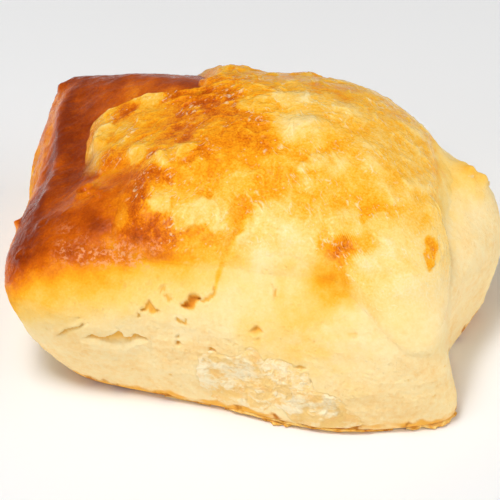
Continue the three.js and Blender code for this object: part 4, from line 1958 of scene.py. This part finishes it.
@dataclass(frozen=True)
class DoughFinish:
    """Baked dough: pale matte crumb, golden shoulders and a glossy egg-washed brown crust, with painted
    shade in its cuts and painted highlight specks on the shoulder.
    """

    torn_bed: Colour = (0.96, 0.74, 0.36, 1)
    # Colours of the painted shade in the cuts, golden to dark brown with depth.
    cut_shade: Stops = ((0.0, (0.97, 0.64, 0.19)), (0.45, (0.92, 0.50, 0.08)), (0.9, (0.74, 0.25, 0.012)))
    golden_foot: Colour = (0.93, 0.47, 0.07, 1)
    dark_foot: Colour = (0.55, 0.19, 0.015, 1)
    dry_rough: float = 0.75
    glossy_rough: float = 0.22

    def dress(self, piece: bpy.types.Object) -> None:
        """Makes the material and gives it to a piece.

        Args:
            piece: the piece that wears it.
        """
        coat = Coat("baked_dough")
        tree = coat.tree
        place = tree.coordinates()
        crust, bubbly = tree.attribute("crust"), tree.attribute("bubbly")
        skin = tree.group(skin_group(), {"Vector": place, "Baked": tree.attribute("baked")})
        colour = tree.blend(tree.attribute("torn"), skin.outputs["Color"], self.torn_bed)
        # Paints pale highlight specks into the bubbly shoulder band.
        highlight_specks = {"Vector": place, "Color": colour, "Bubbly": bubbly}
        colour = tree.group(highlight_speck_group(), highlight_specks).outputs["Color"]
        # Paints shade into the cracks, pits, pores and gash.
        cut = tree.attribute("cut")
        colour = tree.blend(tree.span(cut, 0.02, 0.4), colour, tree.colours(cut, self.cut_shade))
        foot = tree.attribute("foot")
        golden = tree.span(tree.noise(place, 90, 3, 0.6), 0.36, 0.50)
        colour = tree.blend(tree.times(foot, golden), colour, self.golden_foot)
        dark = tree.span(tree.noise(place, 220, 3, 0.6), 0.52, 0.62)
        colour = tree.blend(tree.times(foot, dark), colour, self.dark_foot)

        rough = tree.span(crust, 0.1, 0.9, self.dry_rough, self.glossy_rough)
        rough = tree.plus(rough, tree.times(skin.outputs["Shift"], 0.3))

        grain = tree.times(skin.outputs["Grain"], tree.span(crust, 0.1, 0.8, 1.0, 0.1))
        gloss = tree.group(gloss_group(), {"Vector": place, "Crust": crust, "Bubbly": bubbly})
        relief = tree.plus(grain, gloss.outputs["Height"])
        coat.close(piece, colour, rough, tree.bump(relief, 0.0003, 0.8))


@dataclass(frozen=True)
class TornFinish:
    """Torn crumb: cream white, with painted shade turning its hollows golden and painted highlight paling
    its crests.
    """

    cream: Stops = ((0.39, (0.95, 0.59, 0.21)), (0.47, (0.99, 0.75, 0.38)), (0.56, (1.0, 0.85, 0.56)))
    crest: Colour = (1.0, 0.86, 0.56, 1)
    hollow: Colour = (0.96, 0.64, 0.22, 1)

    def dress(self, piece: bpy.types.Object) -> None:
        """Makes the material and gives it to a piece.

        Args:
            piece: the piece that wears it.
        """
        coat = Coat("torn_crumb")
        tree = coat.tree
        place, crest = tree.coordinates(), tree.attribute("crest")
        colour = tree.colours(tree.noise(place, 300, 6, 0.66), self.cream)
        # Painted highlight on the crests, then painted shade in the hollows.
        colour = tree.blend(tree.times(crest, 0.7), colour, self.crest)
        colour = tree.blend(tree.times(tree.attribute("hollow"), 0.85), colour, self.hollow)
        rough = tree.span(crest, 0.0, 1.0, 0.85, 0.7)
        relief = tree.bump(tree.noise(place, 1500, 4, 0.75), 0.0003, 0.7)
        coat.close(piece, colour, rough, relief, scatter=0.0)


@dataclass(frozen=True)
class CheeseFinish:
    """Melted cheese: pale lumps, golden film, orange toasted patches, with a greasy sheen and painted
    glints.
    """

    # Colour of the painted highlight glints.
    painted_glint: Colour = (1.0, 0.87, 0.52, 1)
    rising: Point = (0.0, -0.5, 0.8)
    falling: Point = (0.0, 0.3, -0.9)
    stretch: float = 3.5
    middle_band: float = 0.008

    def painted_glints(self, tree: Tree, place: Socket) -> Socket:
        """Mask of painted glints, pale highlight marks painted into the colour: short curls drawn out up
        the left and down the right, and dots.

        Args:
            tree: the material's tree.
            place: object coordinates.

        Returns:
            The mask, 0..1.
        """
        across = tree.add("ShaderNodeSeparateXYZ", {"Vector": place}).outputs["X"]
        side = tree.span(across, -self.middle_band, self.middle_band)
        rising = tree.noise(tree.drawn(place, self.rising, self.stretch), 620, 2, 0.5, 0.5)
        falling = tree.noise(tree.drawn(place, self.falling, self.stretch), 620, 2, 0.5, 0.5)
        crest = tree.math("ABSOLUTE", tree.math("SUBTRACT", tree.between(side, rising, falling), 0.5))
        sparse = tree.span(tree.noise(place, 190, 2, 0.5), 0.48, 0.58)
        broken = tree.span(tree.noise(place, 900, 2, 0.5), 0.46, 0.58)
        curl = tree.times(tree.span(crest, 0.0, 0.04, 1.0, 0.0), tree.times(sparse, broken))
        dots = tree.span(tree.cells(place, 560), 0.05, 0.14, 1.0, 0.0)
        return tree.math("MAXIMUM", tree.times(curl, 0.55), tree.times(dots, 0.45))

    def dress(self, piece: bpy.types.Object) -> None:
        """Makes the material and gives it to a piece.

        Args:
            piece: the piece that wears it.
        """
        coat = Coat("toasted_cheese")
        tree = coat.tree
        place = tree.coordinates()
        fade, dry, given = (tree.attribute(name) for name in ("fade", "dry", "tone"))
        crust, bubbly = tree.attribute("crust"), tree.attribute("bubbly")
        painted_glints = self.painted_glints(tree, place)
        skin = tree.group(skin_group(), {"Vector": place, "Baked": tree.attribute("baked")})
        mottle = {"Vector": place, "Cloud Scale": 360.0, "Cloud Amount": 0.4, "Speck Amount": 0.8}
        shift = tree.group(mottle_group(), mottle).outputs["Shift"]
        spread = tree.span(given, 0.02, 0.5, 0.25, 0.65)
        tone = tree.math("ADD", given, tree.times(shift, spread), clamp=True)
        colour = tree.group(bake_group(), {"Tone": tone}).outputs["Color"]
        # Paints pale highlight glints into the cheese colour.
        colour = tree.blend(painted_glints, colour, self.painted_glint)
        colour = tree.blend(fade, colour, skin.outputs["Color"])
        # Paints pale highlight specks into the bubbly shoulder band.
        highlight_specks = {"Vector": place, "Color": colour, "Bubbly": bubbly}
        colour = tree.group(highlight_speck_group(), highlight_specks).outputs["Color"]

        rough = tree.plus(tree.span(dry, 0.2, 0.9, 0.2, 0.7), tree.times(shift, 0.3))

        lively = tree.span(tree.attribute("calm"), 0.0, 1.0, 0.9, 0.5)
        film = tree.times(tree.noise(place, 420, 2, 0.5, 1.0), lively)
        # The painted glint marks also lift the bump a little.
        film = tree.plus(film, tree.times(painted_glints, 0.5))
        film = tree.plus(film, tree.times(tree.noise(place, 1300, 2, 0.6), 0.4))
        gloss = tree.group(gloss_group(), {"Vector": place, "Crust": crust, "Bubbly": bubbly})
        film = tree.between(fade, film, tree.times(gloss.outputs["Height"], 0.75))
        relief = tree.between(dry, film, tree.times(skin.outputs["Grain"], 0.75))
        coat.close(piece, colour, rough, tree.bump(relief, 0.0004, 0.8), scatter=0.3, reach=0.0014)


@dataclass(frozen=True)
class FlakeFinish:
    """Frayed crust at the foot: golden and dry, dark brown in places."""

    baked: Stops = ((0.2, (0.45, 0.12, 0.008)), (0.42, (0.86, 0.42, 0.06)), (0.72, (0.97, 0.66, 0.22)))

    def dress(self, piece: bpy.types.Object) -> None:
        """Makes the material and gives it to a piece.

        Args:
            piece: the piece that wears it.
        """
        coat = Coat("browned_flakes")
        tree = coat.tree
        place = tree.coordinates()
        mottle = {"Vector": place, "Cloud Scale": 380.0, "Speck Scale": 1500.0, "Cloud Amount": 1.5}
        shift = tree.group(mottle_group(), mottle | {"Speck Amount": 0.5}).outputs["Shift"]
        colour = tree.colours(tree.plus(shift, 0.5), self.baked)
        rough = tree.plus(tree.times(shift, 0.4), 0.65)
        coat.close(piece, colour, rough, tree.bump(tree.noise(place, 1300, 4, 0.7), 0.0004, 0.8))


@dataclass(frozen=True)
class CrumbFinish:
    """Loose crumbs: pale crumb with a golden cast."""

    cast: Colour = (0.95, 0.58, 0.16, 1)
    cast_share: float = 0.35

    def dress(self, piece: bpy.types.Object) -> None:
        """Makes the material and gives it to a piece.

        Args:
            piece: the piece that wears it.
        """
        coat = Coat("pale_crumbs")
        tree = coat.tree
        crumb = tree.group(crumb_group(), {"Vector": tree.coordinates()})
        colour = tree.blend(self.cast_share, crumb.outputs["Color"], self.cast)
        rough = tree.span(crumb.outputs["Height"], 0.2, 0.9, 0.8, 0.6)
        coat.close(piece, colour, rough, tree.bump(crumb.outputs["Height"], 0.0004, 0.9))


# ---------------------------------------------------------------- studio


@dataclass(frozen=True)
class SoftBox:
    """A square soft light: place and size in metres, power in watts, and whether it glints."""

    name: str
    at: Point
    size: float
    power: float
    glints: bool = True


@dataclass
class Studio:
    """Pale floor, soft lights and the camera."""

    azimuth: float = 7.0
    elevation: float = 35.0
    distance: float = 0.4
    lens: float = 144.0
    aim_z: float = 20.0
    shift: FlatPoint = (-0.024, -0.08)
    floor_half: float = 3.0
    floor_tone: Colour = (0.92, 0.92, 0.92, 1)
    air: float = 0.10
    horizon: float = 0.15
    front_light: float = 0.85
    back_light: float = 0.12
    boxes: tuple[SoftBox, ...] = (
        SoftBox("key_softbox", (-0.16, -0.18, 0.74), 0.26, 3.3, False),
        SoftBox("glint_softbox", (-0.20, -0.27, 0.88), 0.12, 1.1),
        SoftBox("low_glint_softbox", (-0.20, -0.62, 0.68), 0.10, 0.6),
        SoftBox("front_softbox", (0.35, -0.95, 0.10), 0.8, 0.5),
        SoftBox("left_softbox", (-0.85, -0.50, 0.25), 0.5, 1.5, False),
        SoftBox("far_softbox", (0.82, -0.06, 0.37), 0.6, 3.2, False),
    )

    def build(self) -> None:
        """Builds floor, lights, surroundings and camera."""
        self.floor()
        for box in self.boxes:
            self.light(box)
        self.surroundings()
        bpy.context.scene.view_settings.view_transform = "Standard"
        self.camera()

    def surroundings(self) -> None:
        """Soft air round the scone: bright near the horizon, most of all in front, and dim above."""
        world = bpy.data.worlds.new("studio_air")
        world.use_nodes = True
        tree = Tree(world.node_tree)
        way = tree.add("ShaderNodeTexCoord").outputs["Generated"]
        ways = tree.add("ShaderNodeSeparateXYZ", {"Vector": way})
        low = tree.span(ways.outputs["Z"], self.horizon, 3.0 * self.horizon, 1.0, 0.0)
        light = tree.span(ways.outputs["Y"], -0.4, 0.4, self.front_light, self.back_light)
        strength = tree.plus(tree.times(low, light), self.air)
        background = world.node_tree.nodes["Background"]
        tree.join(strength, background.inputs["Strength"])
        background.inputs["Color"].default_value = (1.0, 1.0, 1.0, 1.0)
        bpy.context.scene.world = world

    def floor(self) -> None:
        """Pale floor, a large flat square at the base."""
        half = self.floor_half
        corners = [(-half, -half, 0), (half, -half, 0), (half, half, 0), (-half, half, 0)]
        mesh = bpy.data.meshes.new("floor")
        mesh.from_pydata(corners, [], [(0, 1, 2, 3)])
        floor = link("floor", mesh)
        coat = Coat("pale_floor")
        coat.shader.inputs["Base Color"].default_value = self.floor_tone
        coat.shader.inputs["Roughness"].default_value = 0.9
        mesh.materials.append(coat.material)

    def light(self, box: SoftBox) -> None:
        """Adds an area light that faces the middle of the scone.

        Args:
            box: the light.
        """
        data = bpy.data.lights.new(box.name, "AREA")
        data.shape = "SQUARE"
        data.size = box.size
        data.energy = box.power
        lamp = bpy.data.objects.new(box.name, data)
        lamp.location = box.at
        lamp.visible_glossy = box.glints
        away = np.array(box.at) - np.array([0, 0, self.aim_z * MM])
        lamp.rotation_euler = (
            math.atan2(math.hypot(away[0], away[1]), away[2]),
            0.0,
            math.atan2(away[1], away[0]) + math.pi / 2,
        )
        bpy.context.scene.collection.objects.link(lamp)

    def camera(self) -> None:
        """Camera on its bearing round the scone, from the front and above."""
        data = bpy.data.cameras.new("camera")
        data.lens = self.lens
        data.sensor_width = 36.0
        data.shift_x, data.shift_y = self.shift
        data.clip_start = 0.01
        camera = bpy.data.objects.new("camera", data)
        azimuth, elevation = math.radians(self.azimuth), math.radians(self.elevation)
        target = place_in_frame(np.array([[0.0, 0.0, self.aim_z]]))[0]
        away = np.array([
            math.sin(azimuth) * math.cos(elevation),
            -math.cos(azimuth) * math.cos(elevation),
            math.sin(elevation),
        ])
        camera.location = target + self.distance * away
        camera.rotation_euler = (math.pi / 2 - elevation, 0.0, azimuth)
        bpy.context.scene.collection.objects.link(camera)
        bpy.context.scene.camera = camera


# ---------------------------------------------------------------- main


def main() -> None:
    """Builds the scone piece by piece, then its studio."""
    logging.basicConfig(level=logging.INFO, format="%(name)s: %(message)s")
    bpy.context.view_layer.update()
    DoughFinish().dress(SconeBody().build())
    TornFinish().dress(TornCrumb().build())
    CheeseFinish().dress(CheeseLayer().build())
    FlakeFinish().dress(FootFlakes().build())
    CrumbFinish().dress(LooseCrumbs().build())
    Studio().build()


if __name__ == "__main__":
    main()
